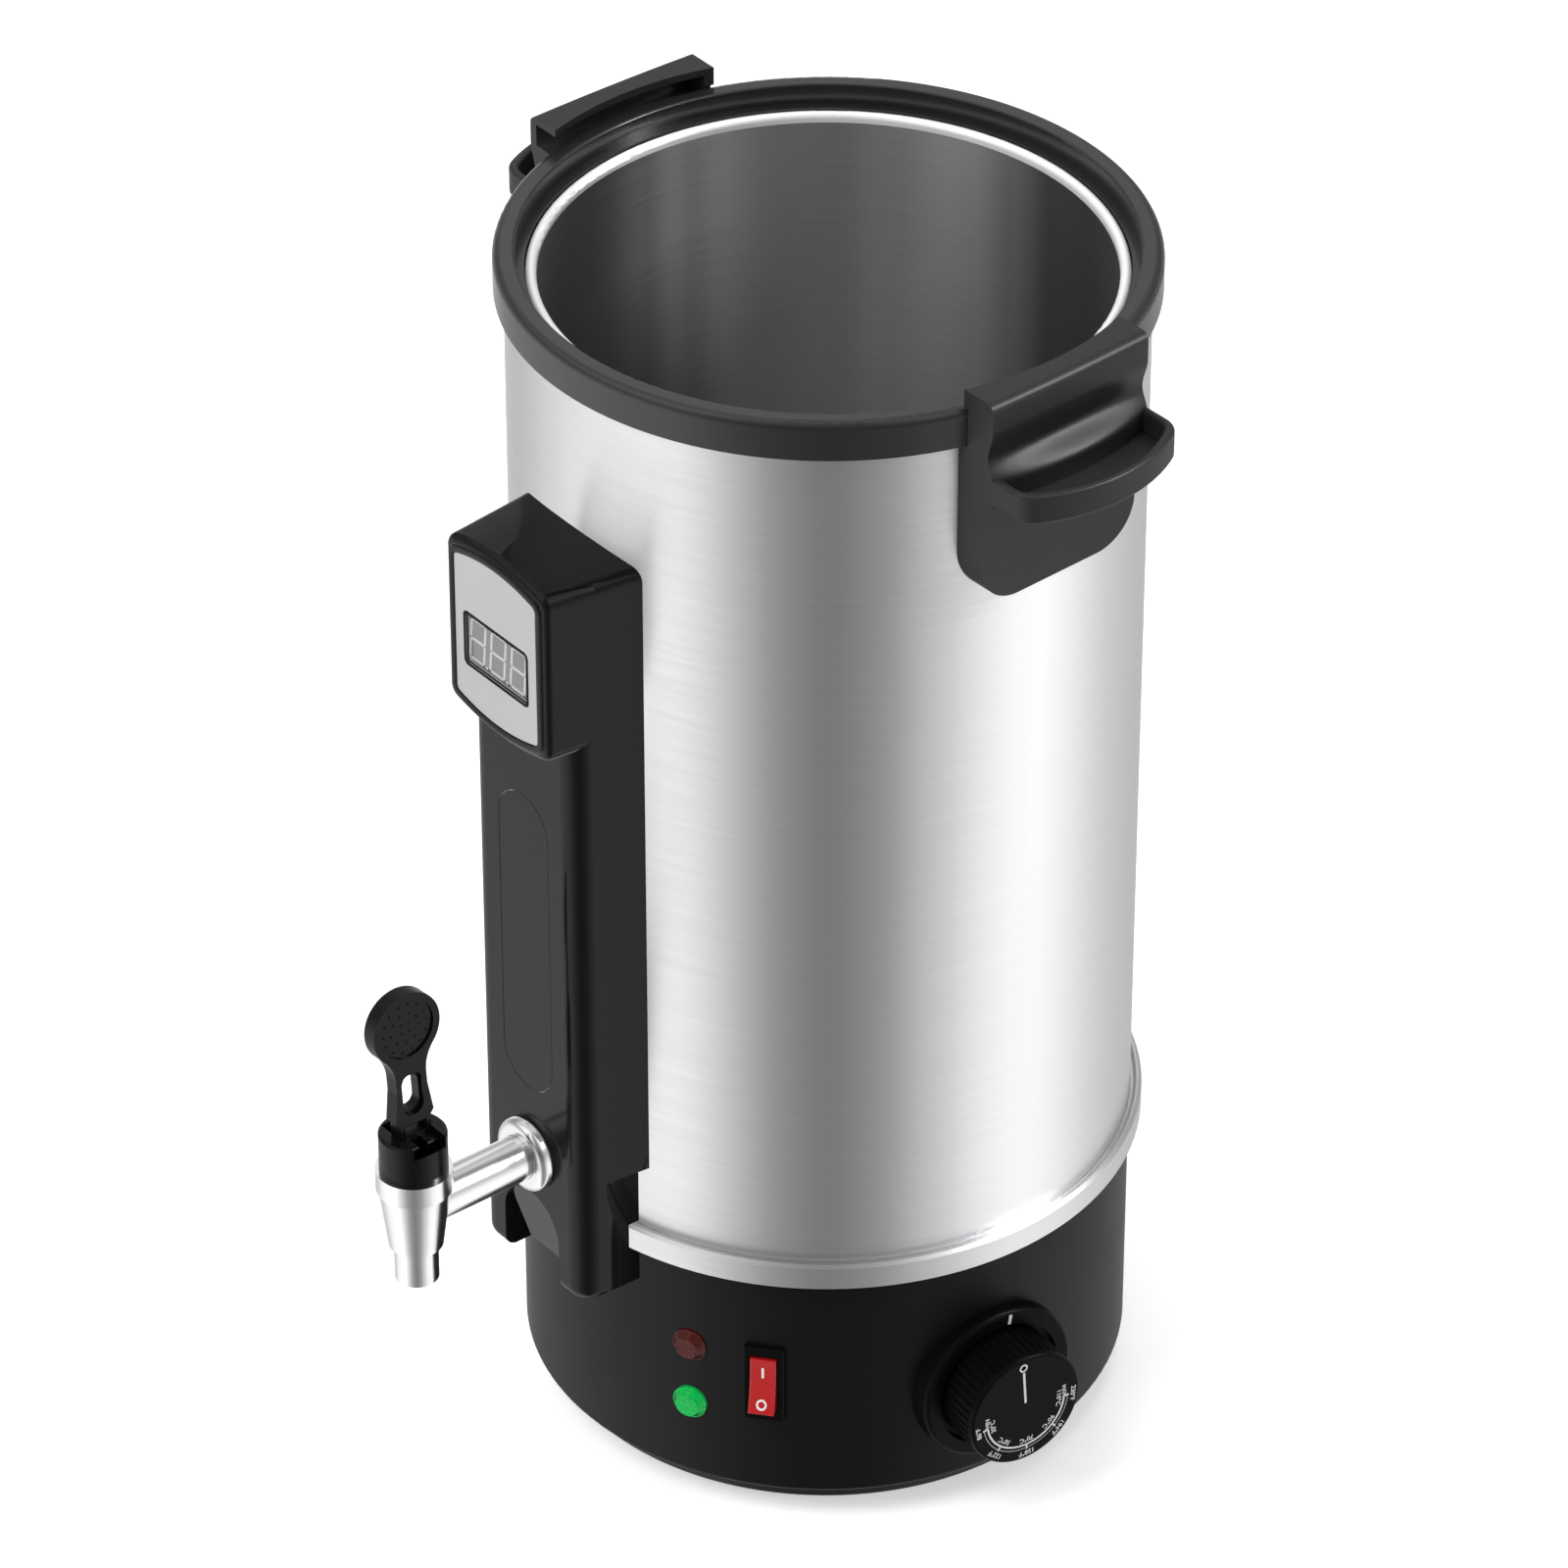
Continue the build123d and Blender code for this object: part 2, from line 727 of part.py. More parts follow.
bulb_height = heater_bottom - bulb_radius
bulb_end = (bulb_length / 2, tank_y - bulb_offset, bulb_height)
capillary_low = bulb_height - capillary_drop
with BuildPart() as thermostat_bulb:
    with BuildSketch(Plane(bulb_end, z_dir=(-1, 0, 0))):
        Circle(bulb_radius)
    extrude(amount=bulb_length)
    fillet(thermostat_bulb.edges().filter_by(GeomType.CIRCLE).sort_by(Axis.X)[0], bulb_radius / 2)
    with BuildLine() as capillary_route:
        route_lead, route_end = [
            dial_wall.offset(thermostat_face - thermostat_deep - away).from_local_coords(
                (0, thermostat_length / 4, 0)
            )
            for away in (20, 2 * sheet_gap)
        ]
        FilletPolyline(
            bulb_end,
            (bulb_end[0] + 7, bulb_end[1], bulb_end[2]),
            (bulb_end[0] + 7, bulb_end[1], capillary_low),
            route_lead,
            route_end,
            radius=(3, 8, 8),
        )
    with BuildSketch(Plane(capillary_route.line @ 0, z_dir=capillary_route.line % 0)):
        Circle(capillary_radius)
    sweep()
save(thermostat_bulb, "thermostat_bulb")

# Dial: a bezel that fits the curve of the base, a knob with a fluted skirt, its shaft, and the
# screws hidden under the knob
with BuildPart() as dial_bezel:
    with BuildSketch(dial_wall.offset(bezel_face)):
        Circle(bezel_radius)
    extrude(amount=-(bezel_face - base_radius + 8))
    with BuildSketch(dial_wall.offset(bezel_face)):
        Circle(bezel_recess_radius)
    extrude(amount=bezel_floor - bezel_face, mode=Mode.SUBTRACT)
    with BuildSketch(TANK):
        Circle(base_radius + sheet_gap)
    extrude(amount=2 * base_top, mode=Mode.SUBTRACT)
    cut_bore(dial_wall.offset(bezel_floor), shaft_radius + shaft_fit, 8, forward=1)
    for side in (-1, 1):
        screw_hole = outward(dial_azimuth, dial_height, bezel_floor, side * dial_screw_offset)
        cut_bore(screw_hole, small_screw[2] + screw_clearance, 8, forward=1)
    rim_edge = dial_bezel.edges().filter_by(GeomType.CIRCLE).filter_by(lambda e: abs(e.radius - bezel_radius) < 0.01)
    fillet(rim_edge, bezel_edge)
save(dial_bezel, "dial_bezel")

with BuildPart() as dial_screws:
    for side in (-1, 1):
        seat = outward(dial_azimuth, dial_height, bezel_floor, side * dial_screw_offset)
        add_screw(seat, small_screw, bezel_floor - thermostat_face + dial_screw_bite - 1)
save(dial_screws, "dial_screws")

knob_back = bezel_floor + knob_gap
with BuildPart() as dial_knob:
    with BuildSketch(dial_wall.offset(knob_back)):
        Circle(knob_radius)
        with PolarLocations(knob_radius, knob_grip_count):
            Circle(knob_grip_radius, mode=Mode.SUBTRACT)
    extrude(amount=knob_face - knob_back - 2 * knob_edge)
    with BuildSketch(dial_wall.offset(knob_face - 2 * knob_edge)):
        Circle(knob_radius)
    extrude(amount=2 * knob_edge)
    face_edge = dial_knob.edges().filter_by(GeomType.CIRCLE).filter_by(lambda e: abs(e.radius - knob_radius) < 0.01)
    fillet(face_edge.sort_by_distance(dial_wall.offset(2 * knob_face).origin)[0], knob_edge)
    with BuildSketch(dial_wall.offset(knob_back)):
        Circle(knob_radius - knob_grip_radius - knob_wall)
        Circle(knob_hub_radius, mode=Mode.SUBTRACT)
    extrude(amount=knob_face - knob_back - knob_wall, mode=Mode.SUBTRACT)
    with BuildSketch(dial_wall.offset(knob_back)):
        Circle(shaft_radius)
    extrude(amount=knob_face - knob_back - knob_wall, mode=Mode.SUBTRACT)
save(dial_knob, "dial_knob")

with BuildPart() as thermostat_shaft:
    with BuildSketch(dial_wall.offset(shaft_root + 2 * sheet_gap)):
        Circle(shaft_radius)
    extrude(amount=knob_face - knob_wall - shaft_root - 2 * sheet_gap)
save(thermostat_shaft, "thermostat_shaft")

# Power switch: a snap-in frame, the rocker on two moulded pins, and three blades behind
switch_wall = outward(switch_azimuth, switch_height, 0)
switch_back = base_radius + sheet_gap
switch_face = switch_back + switch_flange
pivot_reach = switch_face - rocker_pivot_depth
rocker_half = rocker_length / 2
with BuildPart() as switch_frame:
    with BuildSketch(switch_wall.offset(switch_back)):
        RectangleRounded(switch_width, switch_length, 1)
    extrude(amount=switch_flange)
    chamfer(switch_frame.faces().sort_by_distance(switch_wall.offset(2 * switch_face).origin)[0].edges(), 0.4)
    with BuildSketch(switch_wall.offset(switch_back)):
        Rectangle(switch_body_width, switch_body_length)
    extrude(amount=-switch_body_depth)
    with BuildSketch(switch_wall.offset(switch_face)):
        Rectangle(rocker_width + 2 * rocker_side_gap, rocker_length + 2 * rocker_end_gap)
    extrude(amount=-switch_pocket, mode=Mode.SUBTRACT)
    with Locations(switch_wall.offset(pivot_reach)):
        Cylinder(
            rocker_pin_radius + shaft_fit,
            rocker_width + 2 * rocker_side_gap + 2 * rocker_pin_length,
            rotation=(0, 90, 0),
            mode=Mode.SUBTRACT,
        )
    for offset_y in (-switch_body_length / 3, 0, switch_body_length / 3):
        with BuildSketch(switch_wall.offset(switch_back - switch_body_depth)):
            with Locations((0, offset_y)):
                Rectangle(blade_width, blade_thickness)
        extrude(amount=blade_seat, mode=Mode.SUBTRACT)
save(switch_frame, "switch_frame")

with BuildPart() as switch_terminals:
    for offset_y in (-switch_body_length / 3, 0, switch_body_length / 3):
        with BuildSketch(switch_wall.offset(switch_back - switch_body_depth + blade_seat)):
            with Locations((0, offset_y)):
                Rectangle(blade_width, blade_thickness)
        extrude(amount=-(blade_seat + blade_length))
save(switch_terminals, "switch_terminals")

pivot = switch_wall.offset(pivot_reach)
tilt = radians(rocker_tilt)
rocker_section = Plane(
    pivot.origin,
    x_dir=pivot.z_dir * cos(tilt) + Vector(0, 0, sin(tilt)),
    z_dir=pivot.x_dir,
)
with BuildPart() as switch_rocker:
    with BuildSketch(rocker_section):
        with BuildLine():
            front = ThreePointArc(
                (rocker_pivot_depth + rocker_rise, -rocker_half),
                (rocker_pivot_depth + rocker_rise - rocker_dish, 0),
                (rocker_pivot_depth + rocker_rise, rocker_half),
            )
            Polyline(
                front @ 1,
                (0, rocker_half),
                (-rocker_root, rocker_root),
                (-rocker_root, -rocker_root),
                (0, -rocker_half),
                front @ 0,
            )
        make_face()
    extrude(amount=rocker_width / 2, both=True)
    fillet(switch_rocker.faces().filter_by(GeomType.CYLINDER)[0].edges(), 0.5)
    with BuildSketch(rocker_section):
        Circle(rocker_pin_radius)
    extrude(amount=rocker_width / 2 + rocker_side_gap + rocker_pin_length - shaft_fit, both=True)
save(switch_rocker, "switch_rocker")

# Lamps: a faceted lens over a round holder with two blades, twice
lamp_back = base_radius + sheet_gap
lamp_nut_reach = sqrt((base_radius - base_wall) ** 2 - lamp_nut_radius**2) - sheet_gap
with BuildPart() as lamp_holders:
    for height in lamp_heights:
        lamp_wall = outward(lamp_azimuth, height, lamp_back)
        with BuildSketch(lamp_wall):
            Circle(lamp_body_radius)
        extrude(amount=-lamp_body_depth)
        with BuildSketch(outward(lamp_azimuth, height, lamp_nut_reach)):
            Circle(lamp_nut_radius)
        extrude(amount=-lamp_flange)
        with BuildSketch(lamp_wall.offset(-lamp_body_depth)):
            with Locations((-2, 0), (2, 0)):
                Rectangle(blade_thickness, blade_width / 2)
        extrude(amount=-blade_length)
save(lamp_holders, "lamp_holders")

lamp_lenses = []
for height in lamp_heights:
    lamp_wall = outward(lamp_azimuth, height, lamp_back)
    with BuildPart() as lamp_lens:
        with BuildSketch(lamp_wall):
            Circle(lamp_radius)
        extrude(amount=lamp_flange)
        with BuildSketch(lamp_wall.offset(lamp_flange)):
            Circle(lamp_radius - 0.4)
        extrude(amount=lamp_dome, taper=35)
    lamp_lenses.append(lamp_lens)
save(lamp_lenses[0], "lamp_red_lens")
save(lamp_lenses[1], "lamp_green_lens")

# Mains inlet: a flanged body with a keyed socket, three pins through its back and two screws
inlet_front = outward(180, inlet_height, inlet_face)
inlet_body_back = inlet_flange + inlet_body_depth
pin_places = ((-inlet_pin_pitch, 0), (inlet_pin_pitch, 0), (0, inlet_earth_rise))
with BuildPart() as inlet_body:
    with BuildSketch(inlet_front):
        RectangleRounded(inlet_width, inlet_length, 5)
    extrude(amount=-inlet_flange)
    with BuildSketch(inlet_front.offset(-inlet_flange)):
        Rectangle(inlet_body_width, inlet_body_length)
    extrude(amount=-inlet_body_depth)
    with BuildSketch(inlet_front):
        cavity = Rectangle(inlet_cavity_width, inlet_cavity_length)
        chamfer(cavity.vertices().group_by(Axis.Y)[-1], inlet_cavity_chamfer)
    extrude(amount=-inlet_cavity_depth, mode=Mode.SUBTRACT)
    with BuildSketch(inlet_front):
        with Locations(*pin_places):
            Rectangle(inlet_pin_thick, inlet_pin_length)
    extrude(amount=-inlet_body_back, mode=Mode.SUBTRACT)
    for side in (-1, 1):
        hole = outward(180, inlet_height, inlet_face, side * inlet_screw_pitch / 2)
        cut_bore(hole, small_screw[2] + screw_clearance, inlet_flange, forward=1)
save(inlet_body, "inlet_body")

with BuildPart() as inlet_pins:
    with BuildSketch(inlet_front.offset(-inlet_pin_inset)):
        with Locations(*pin_places):
            Rectangle(inlet_pin_thick, inlet_pin_length)
    extrude(amount=-(inlet_body_back - inlet_pin_inset + blade_length))
save(inlet_pins, "inlet_pins")

with BuildPart() as inlet_screws:
    for side in (-1, 1):
        seat = outward(180, inlet_height, inlet_face, side * inlet_screw_pitch / 2)
        add_screw(seat, small_screw, inlet_flange + 6)
save(inlet_screws, "inlet_screws")

# Terminal block: a ceramic block on the bottom plate with three screw wells
with BuildPart() as terminal_block:
    with BuildSketch(TANK.offset(plate_bottom + bottom_plate_wall)):
        with Locations(terminal_block_place):
            Rectangle(terminal_block_size[0], terminal_block_size[1])
    extrude(amount=terminal_block_size[2])
    with BuildSketch(TANK.offset(plate_bottom + bottom_plate_wall + terminal_block_size[2])):
        with Locations(terminal_block_place):
            with GridLocations(terminal_block_size[0] / 3, terminal_block_size[1] / 2, 3, 2):
                Circle(terminal_well)
    extrude(amount=-terminal_block_size[2] / 2, mode=Mode.SUBTRACT)
save(terminal_block, "terminal_block")

# Display column: a moulded cover whose head carries the display, with a scoop under the tap and a
# notch down each side, hollow behind and fitted to the shell's curve
head_front_half = column_half_width - column_side_slope * (head_front - column_back_reach)
back_reach = column_back_reach - 12
back_half = column_half_width + column_side_slope * (column_back_reach - back_reach)
front_wall = outward(0, 0, 0)


def column_outline(shrink, front):
    """Draws the column's plan as a closed line on the tank's plane, in from its faces by shrink."""
    Polyline(
        (-back_half + shrink, -back_reach),
        (-(column_half_width - column_side_slope * (front - column_back_reach)) + shrink, -front),
        ((column_half_width - column_side_slope * (front - column_back_reach)) - shrink, -front),
        (back_half - shrink, -back_reach),
        close=True,
    )


def head_outline(half, low, high, crown):
    """Draws the head's front outline, straight at the sides and arched above and below."""
    ThreePointArc((-half, high), (0, high + crown), (half, high))
    Line((half, high), (half, low))
    ThreePointArc((half, low), (0, low - crown), (-half, low))
    Line((-half, low), (-half, high))


with BuildPart() as column_cover:
    with BuildSketch(TANK.offset(column_bottom)) as column_plan:
        with BuildLine():
            column_outline(0, column_front)
        make_face()
        fillet(column_plan.vertices().group_by(Axis.Y)[0], column_corner)
    extrude(amount=(head_top + head_bottom) / 2 - column_bottom)
    fillet(column_cover.faces().sort_by(Axis.Z)[0].edges().sort_by(Axis.Y)[:-1], column_foot_edge)
    with BuildSketch(front_wall.offset(head_front)) as head_face:
        with BuildLine():
            head_outline(head_front_half, head_bottom, head_top, head_crown)
        make_face()
        fillet(head_face.vertices(), head_corner)
    with BuildSketch(front_wall.offset(back_reach)) as head_back:
        with BuildLine():
            head_outline(back_half, head_bottom, head_top, head_crown)
        make_face()
        fillet(head_back.vertices(), head_corner)
    loft()
    front_edges = column_cover.faces().sort_by(Axis.Y)[0].edges()
    fillet(front_edges, head_edge)
    # The scoop under the tap: an arched wedge out of the lower front
    with BuildPart(mode=Mode.PRIVATE) as scoop:
        with BuildSketch(front_wall.offset(column_front + 1)) as arch:
            with Locations((0, scoop_top - scoop_half_width)):
                Circle(scoop_half_width)
            with Locations((0, (scoop_top - scoop_half_width + column_bottom - 10) / 2)):
                Rectangle(2 * scoop_half_width, scoop_top - scoop_half_width - column_bottom + 10)
        extrude(amount=-30)
    with BuildPart(mode=Mode.PRIVATE) as wedge:
        with BuildSketch(Plane.YZ):
            with BuildLine():
                Polyline(
                    (tank_y - column_front, scoop_top),
                    (tank_y - column_front - 2, scoop_top),
                    (tank_y - column_front - 2, column_bottom - 1),
                    (tank_y - column_front + scoop_depth, column_bottom - 1),
                    close=True,
                )
            make_face()
        extrude(amount=scoop_half_width + 1, both=True)
        add(scoop.part, mode=Mode.INTERSECT)
    add(wedge.part, mode=Mode.SUBTRACT)
    # A notch down each side, where the trim band passes behind the cover
    with BuildSketch(TANK.offset(column_bottom)):
        with Locations((0, -(notch_reach + back_reach) / 2)):
            Rectangle(3 * column_half_width, notch_reach - back_reach)
            Rectangle(2 * notch_half_width, notch_reach - back_reach, mode=Mode.SUBTRACT)
    extrude(amount=notch_top - column_bottom, mode=Mode.SUBTRACT)
    # Hollow inside, open towards the shell
    with BuildSketch(TANK.offset(column_bottom + column_wall)):
        with BuildLine():
            column_outline(
                column_wall + column_half_width - notch_half_width, column_front - column_wall - scoop_depth
            )
        make_face()
    extrude(amount=notch_top + column_wall - column_bottom - column_wall, mode=Mode.SUBTRACT)
    with BuildSketch(TANK.offset(notch_top + column_wall)):
        with BuildLine():
            column_outline(column_wall, column_front - column_wall)
        make_face()
    extrude(amount=head_top - column_wall - notch_top - column_wall, mode=Mode.SUBTRACT)
    with BuildSketch(TANK.offset(head_bottom + column_wall)):
        with BuildLine():
            column_outline(column_wall + 1, head_front - column_wall)
        make_face()
    extrude(amount=head_top - head_bottom - 2 * column_wall, mode=Mode.SUBTRACT)
    # Screw bosses behind the front wall
    for height in column_screw_heights:
        for side in (-1, 1):
            boss = outward(0, height, column_front - column_wall, side * column_screw_offset)
            with Locations(boss):
                Cylinder(
                    column_boss_radius,
                    column_front - column_wall - column_boss_foot,
                    align=(Align.CENTER, Align.CENTER, Align.MAX),
                )
            cut_bore(boss, small_screw[2] + screw_clearance, column_front - column_boss_foot, forward=-column_boss_floor)
    # Fitted to the shell, with room for the trim band
    with BuildSketch(TANK.offset(column_bottom - 1)):
        Circle(shell_radius + column_to_shell)
    extrude(amount=head_top - column_bottom + 20, mode=Mode.SUBTRACT)
    with BuildSketch(TANK.offset(base_top - running_gap)):
        Circle(band_radius + running_gap)
    extrude(amount=band_height + 2 * running_gap, mode=Mode.SUBTRACT)
    # Recess and opening for the display, recess for the grip panel, hole for the tap
    with BuildSketch(front_wall.offset(head_front)) as plate_seat:
        with BuildLine():
            head_outline(
                plate_half + plate_gap, plate_low - plate_gap, plate_high + plate_gap, head_crown
            )
        make_face()
        fillet(plate_seat.vertices(), plate_corner)
    extrude(amount=-(plate_thickness - plate_proud), mode=Mode.SUBTRACT)
    with BuildSketch(front_wall.offset(head_front)):
        with Locations((0, window_height)):
            Rectangle(window_width + 2 * window_gap, window_length + 2 * window_gap)
    extrude(amount=-2 * column_wall, mode=Mode.SUBTRACT)
    with BuildSketch(front_wall.offset(column_front)):
        with Locations((0, grip_panel_height)):
            SlotOverall(
                grip_panel_length + 2 * grip_panel_gap, grip_panel_width + 2 * grip_panel_gap, rotation=90
            )
    extrude(amount=-grip_panel_thickness, mode=Mode.SUBTRACT)
    cut_bore(outward(0, shank_height, column_front), thread_radius + thread_gap, 2 * scoop_depth, forward=1)
save(column_cover, "column_cover")

with BuildPart() as grip_panel:
    with BuildSketch(front_wall.offset(column_front - grip_panel_thickness)):
        with Locations((0, grip_panel_height)):
            SlotOverall(grip_panel_length, grip_panel_width, rotation=90)
    extrude(amount=grip_panel_thickness)
save(grip_panel, "column_grip_panel")

with BuildPart() as column_screws:
    for height in column_screw_heights:
        for side in (-1, 1):
            seat = outward(0, height, column_screw_seat, side * column_screw_offset)
            add_screw(-seat, small_screw, column_screw_length)
save(column_screws, "column_screws")

# Display: a thin arched plate with a window, the smoked lens in it, the digit module behind the
# lens and its board, and the probe that it reads through the shell
with BuildPart() as display_plate:
    with BuildSketch(front_wall.offset(head_front + plate_proud)) as plate_face:
        with BuildLine():
            head_outline(plate_half, plate_low, plate_high, head_crown)
        make_face()
        fillet(plate_face.vertices(), plate_corner)
        with Locations((0, window_height)):
            Rectangle(window_width + 2 * window_gap, window_length + 2 * window_gap, mode=Mode.SUBTRACT)
    extrude(amount=-plate_thickness)
save(display_plate, "display_plate")

window_back = head_front - column_wall
with BuildPart() as display_window:
    with BuildSketch(front_wall.offset(window_back)):
        with Locations((0, window_height)):
            Rectangle(window_width, window_length)
    extrude(amount=window_thickness)
save(display_window, "display_window")

with BuildPart() as display_module:
    with BuildSketch(front_wall.offset(window_back)):
        with Locations((0, window_height)):
            Rectangle(module_width, module_length)
    extrude(amount=-module_depth)
save(display_module, "display_module")

with BuildPart() as display_board:
    with BuildSketch(front_wall.offset(window_back - module_depth)):
        with Locations((0, window_height)):
            Rectangle(board_width, board_length)
            with GridLocations(board_width - 6, board_length - 6, 2, 2):
                Circle(small_screw[2], mode=Mode.SUBTRACT)
    extrude(amount=-board_thickness)
save(display_board, "display_board")

probe_wall = outward(0, probe_height, 0)
with BuildPart() as temperature_probe:
    with BuildSketch(probe_wall.offset(pot_radius + sheet_gap)):
        Circle(probe_flange_radius)
    extrude(amount=probe_flange_thickness)
    with BuildSketch(probe_wall.offset(pot_radius + sheet_gap)):
        Circle(probe_radius)
    extrude(amount=probe_length)
save(temperature_probe, "temperature_probe")

# Tap body: a chromed casting with a threaded shank through the column, shell and pot, a valve
# chamber with its seat, and the nozzle below
shank_wall = outward(0, shank_height, 0)
flange_back = column_front + gasket_thickness
shank_shoulder = flange_back + flange_thickness - flange_recess
tap_axis = Axis(TAP.origin, (0, 0, 1))
tap_section = Plane(TAP.origin, x_dir=(1, 0, 0), z_dir=(0, -1, 0))
with BuildPart() as tap_body:
    with BuildSketch(tap_section):
        with BuildLine():
            Polyline(
                (0, nozzle_bottom),
                (nozzle_radius, nozzle_bottom),
                (nozzle_radius, nozzle_top),
                (cup_foot_radius, nozzle_top),
                (cup_neck_radius, cup_top - cup_ring),
                (cup_radius, cup_top - cup_ring),
                (cup_radius, cup_top),
                (0, cup_top),
                close=True,
            )
        make_face()
    revolve(axis=tap_axis)
    with BuildSketch(shank_wall.offset(shank_shoulder)):
        Circle(shank_radius)
    extrude(amount=tap_reach - shank_shoulder)
    with BuildSketch(shank_wall.offset(thread_end)):
        Circle(thread_radius)
    extrude(amount=shank_shoulder - thread_end)
    with BuildSketch(tap_section):
        with BuildLine():
            Polyline(
                (0, nozzle_bottom),
                (nozzle_bore, nozzle_bottom),
                (nozzle_bore, valve_seat),
                (chamber_radius, valve_seat),
                (chamber_radius, cup_top - bonnet_spigot),
                (bonnet_spigot_radius + sheet_gap, cup_top - bonnet_spigot),
                (bonnet_spigot_radius + sheet_gap, cup_top),
                (0, cup_top),
                close=True,
            )
        make_face()
    revolve(axis=tap_axis, mode=Mode.SUBTRACT)
    with BuildSketch(shank_wall.offset(thread_end)):
        Circle(shank_bore)
    extrude(amount=tap_reach - thread_end, mode=Mode.SUBTRACT)
save(tap_body, "tap_body")

with BuildPart() as tap_flange:
    with BuildSketch(shank_wall.offset(flange_back)):
        Circle(flange_radius)
    extrude(amount=flange_thickness)
    front_rim = tap_flange.edges().sort_by(Axis.Y)[0]
    fillet(front_rim, flange_thickness * 0.7)
    cut_bore(shank_wall.offset(flange_back + flange_thickness), shank_radius + sheet_gap, flange_recess, forward=1)
    cut_bore(shank_wall.offset(shank_shoulder), thread_radius + thread_gap, flange_thickness, forward=1)
save(tap_flange, "tap_flange")

with BuildPart() as tap_seals:
    for seal_back, seal_radius, seal_thickness in (
        (column_front, flange_radius - 1, gasket_thickness),
        (washer_reach - washer_thickness, washer_radius, washer_thickness),
    ):
        with BuildSketch(shank_wall.offset(seal_back)):
            Circle(seal_radius)
            Circle(thread_radius + thread_gap, mode=Mode.SUBTRACT)
        extrude(amount=seal_thickness)
save(tap_seals, "tap_seals")

with BuildPart() as tap_lock_nut:
    with BuildSketch(shank_wall.offset(washer_reach - washer_thickness)):
        RegularPolygon(nut_radius, 6)
        Circle(thread_radius, mode=Mode.SUBTRACT)
    extrude(amount=-nut_thickness)
save(tap_lock_nut, "tap_lock_nut")



def save_turned(piece, name):
    """Turns a finished piece about the tap's axis, to where the bonnet was screwed home, and saves it."""
    piece.part = piece.part.rotate(tap_axis, lever_azimuth)
    save(piece, name)


# Bonnet: screwed into the tap, slotted for the lever's foot and drilled for its pins and the stem.
# The bonnet and what moves in it are drawn facing the front, then turned.
pivot_height = cup_top + pivot_rise
bonnet_top = cup_top + bonnet_height
with BuildPart() as tap_bonnet:
    with BuildSketch(TAP.offset(cup_top - bonnet_spigot)):
        Circle(bonnet_spigot_radius)
    extrude(amount=bonnet_spigot)
    with BuildSketch(TAP.offset(cup_top)):
        Circle(bonnet_radius)
    extrude(amount=bonnet_height)
    chamfer(tap_bonnet.edges().sort_by(Axis.Z)[-1], 0.8)
    with BuildSketch(TAP.offset(pivot_height - pivot_floor)):
        Rectangle(2 * bonnet_slot_half, 2 * bonnet_slot_reach)
    extrude(amount=bonnet_height, mode=Mode.SUBTRACT)
    with BuildSketch(Plane(TAP.origin, x_dir=(0, 1, 0), z_dir=(1, 0, 0))):
        with BuildLine():
            Polyline(
                (-4, pivot_height - 1),
                (-bonnet_radius - 1, pivot_height + 5),
                (-bonnet_radius - 1, bonnet_top + 1),
                (-4, bonnet_top + 1),
                close=True,
            )
        make_face()
    extrude(amount=bonnet_slot_half, both=True, mode=Mode.SUBTRACT)
    with Locations(TAP.offset(cup_top - bonnet_spigot)):
        Cylinder(
            stem_radius + stem_gap,
            bonnet_spigot + pivot_rise,
            align=(Align.CENTER, Align.CENTER, Align.MIN),
            mode=Mode.SUBTRACT,
        )
    with Locations(TAP.offset(pivot_height)):
        Cylinder(pivot_radius, 2 * pivot_reach_x, rotation=(0, 90, 0), mode=Mode.SUBTRACT)
save_turned(tap_bonnet, "tap_bonnet")

with BuildPart() as lever_pin:
    for side in (-1, 1):
        pin_end = Plane(TAP.offset(pivot_height).origin, x_dir=(0, 1, 0), z_dir=(side, 0, 0))
        with BuildSketch(pin_end.offset(pivot_inner_x)):
            Circle(pivot_radius)
        extrude(amount=pivot_reach_x - pivot_inner_x)
save_turned(lever_pin, "lever_pin")

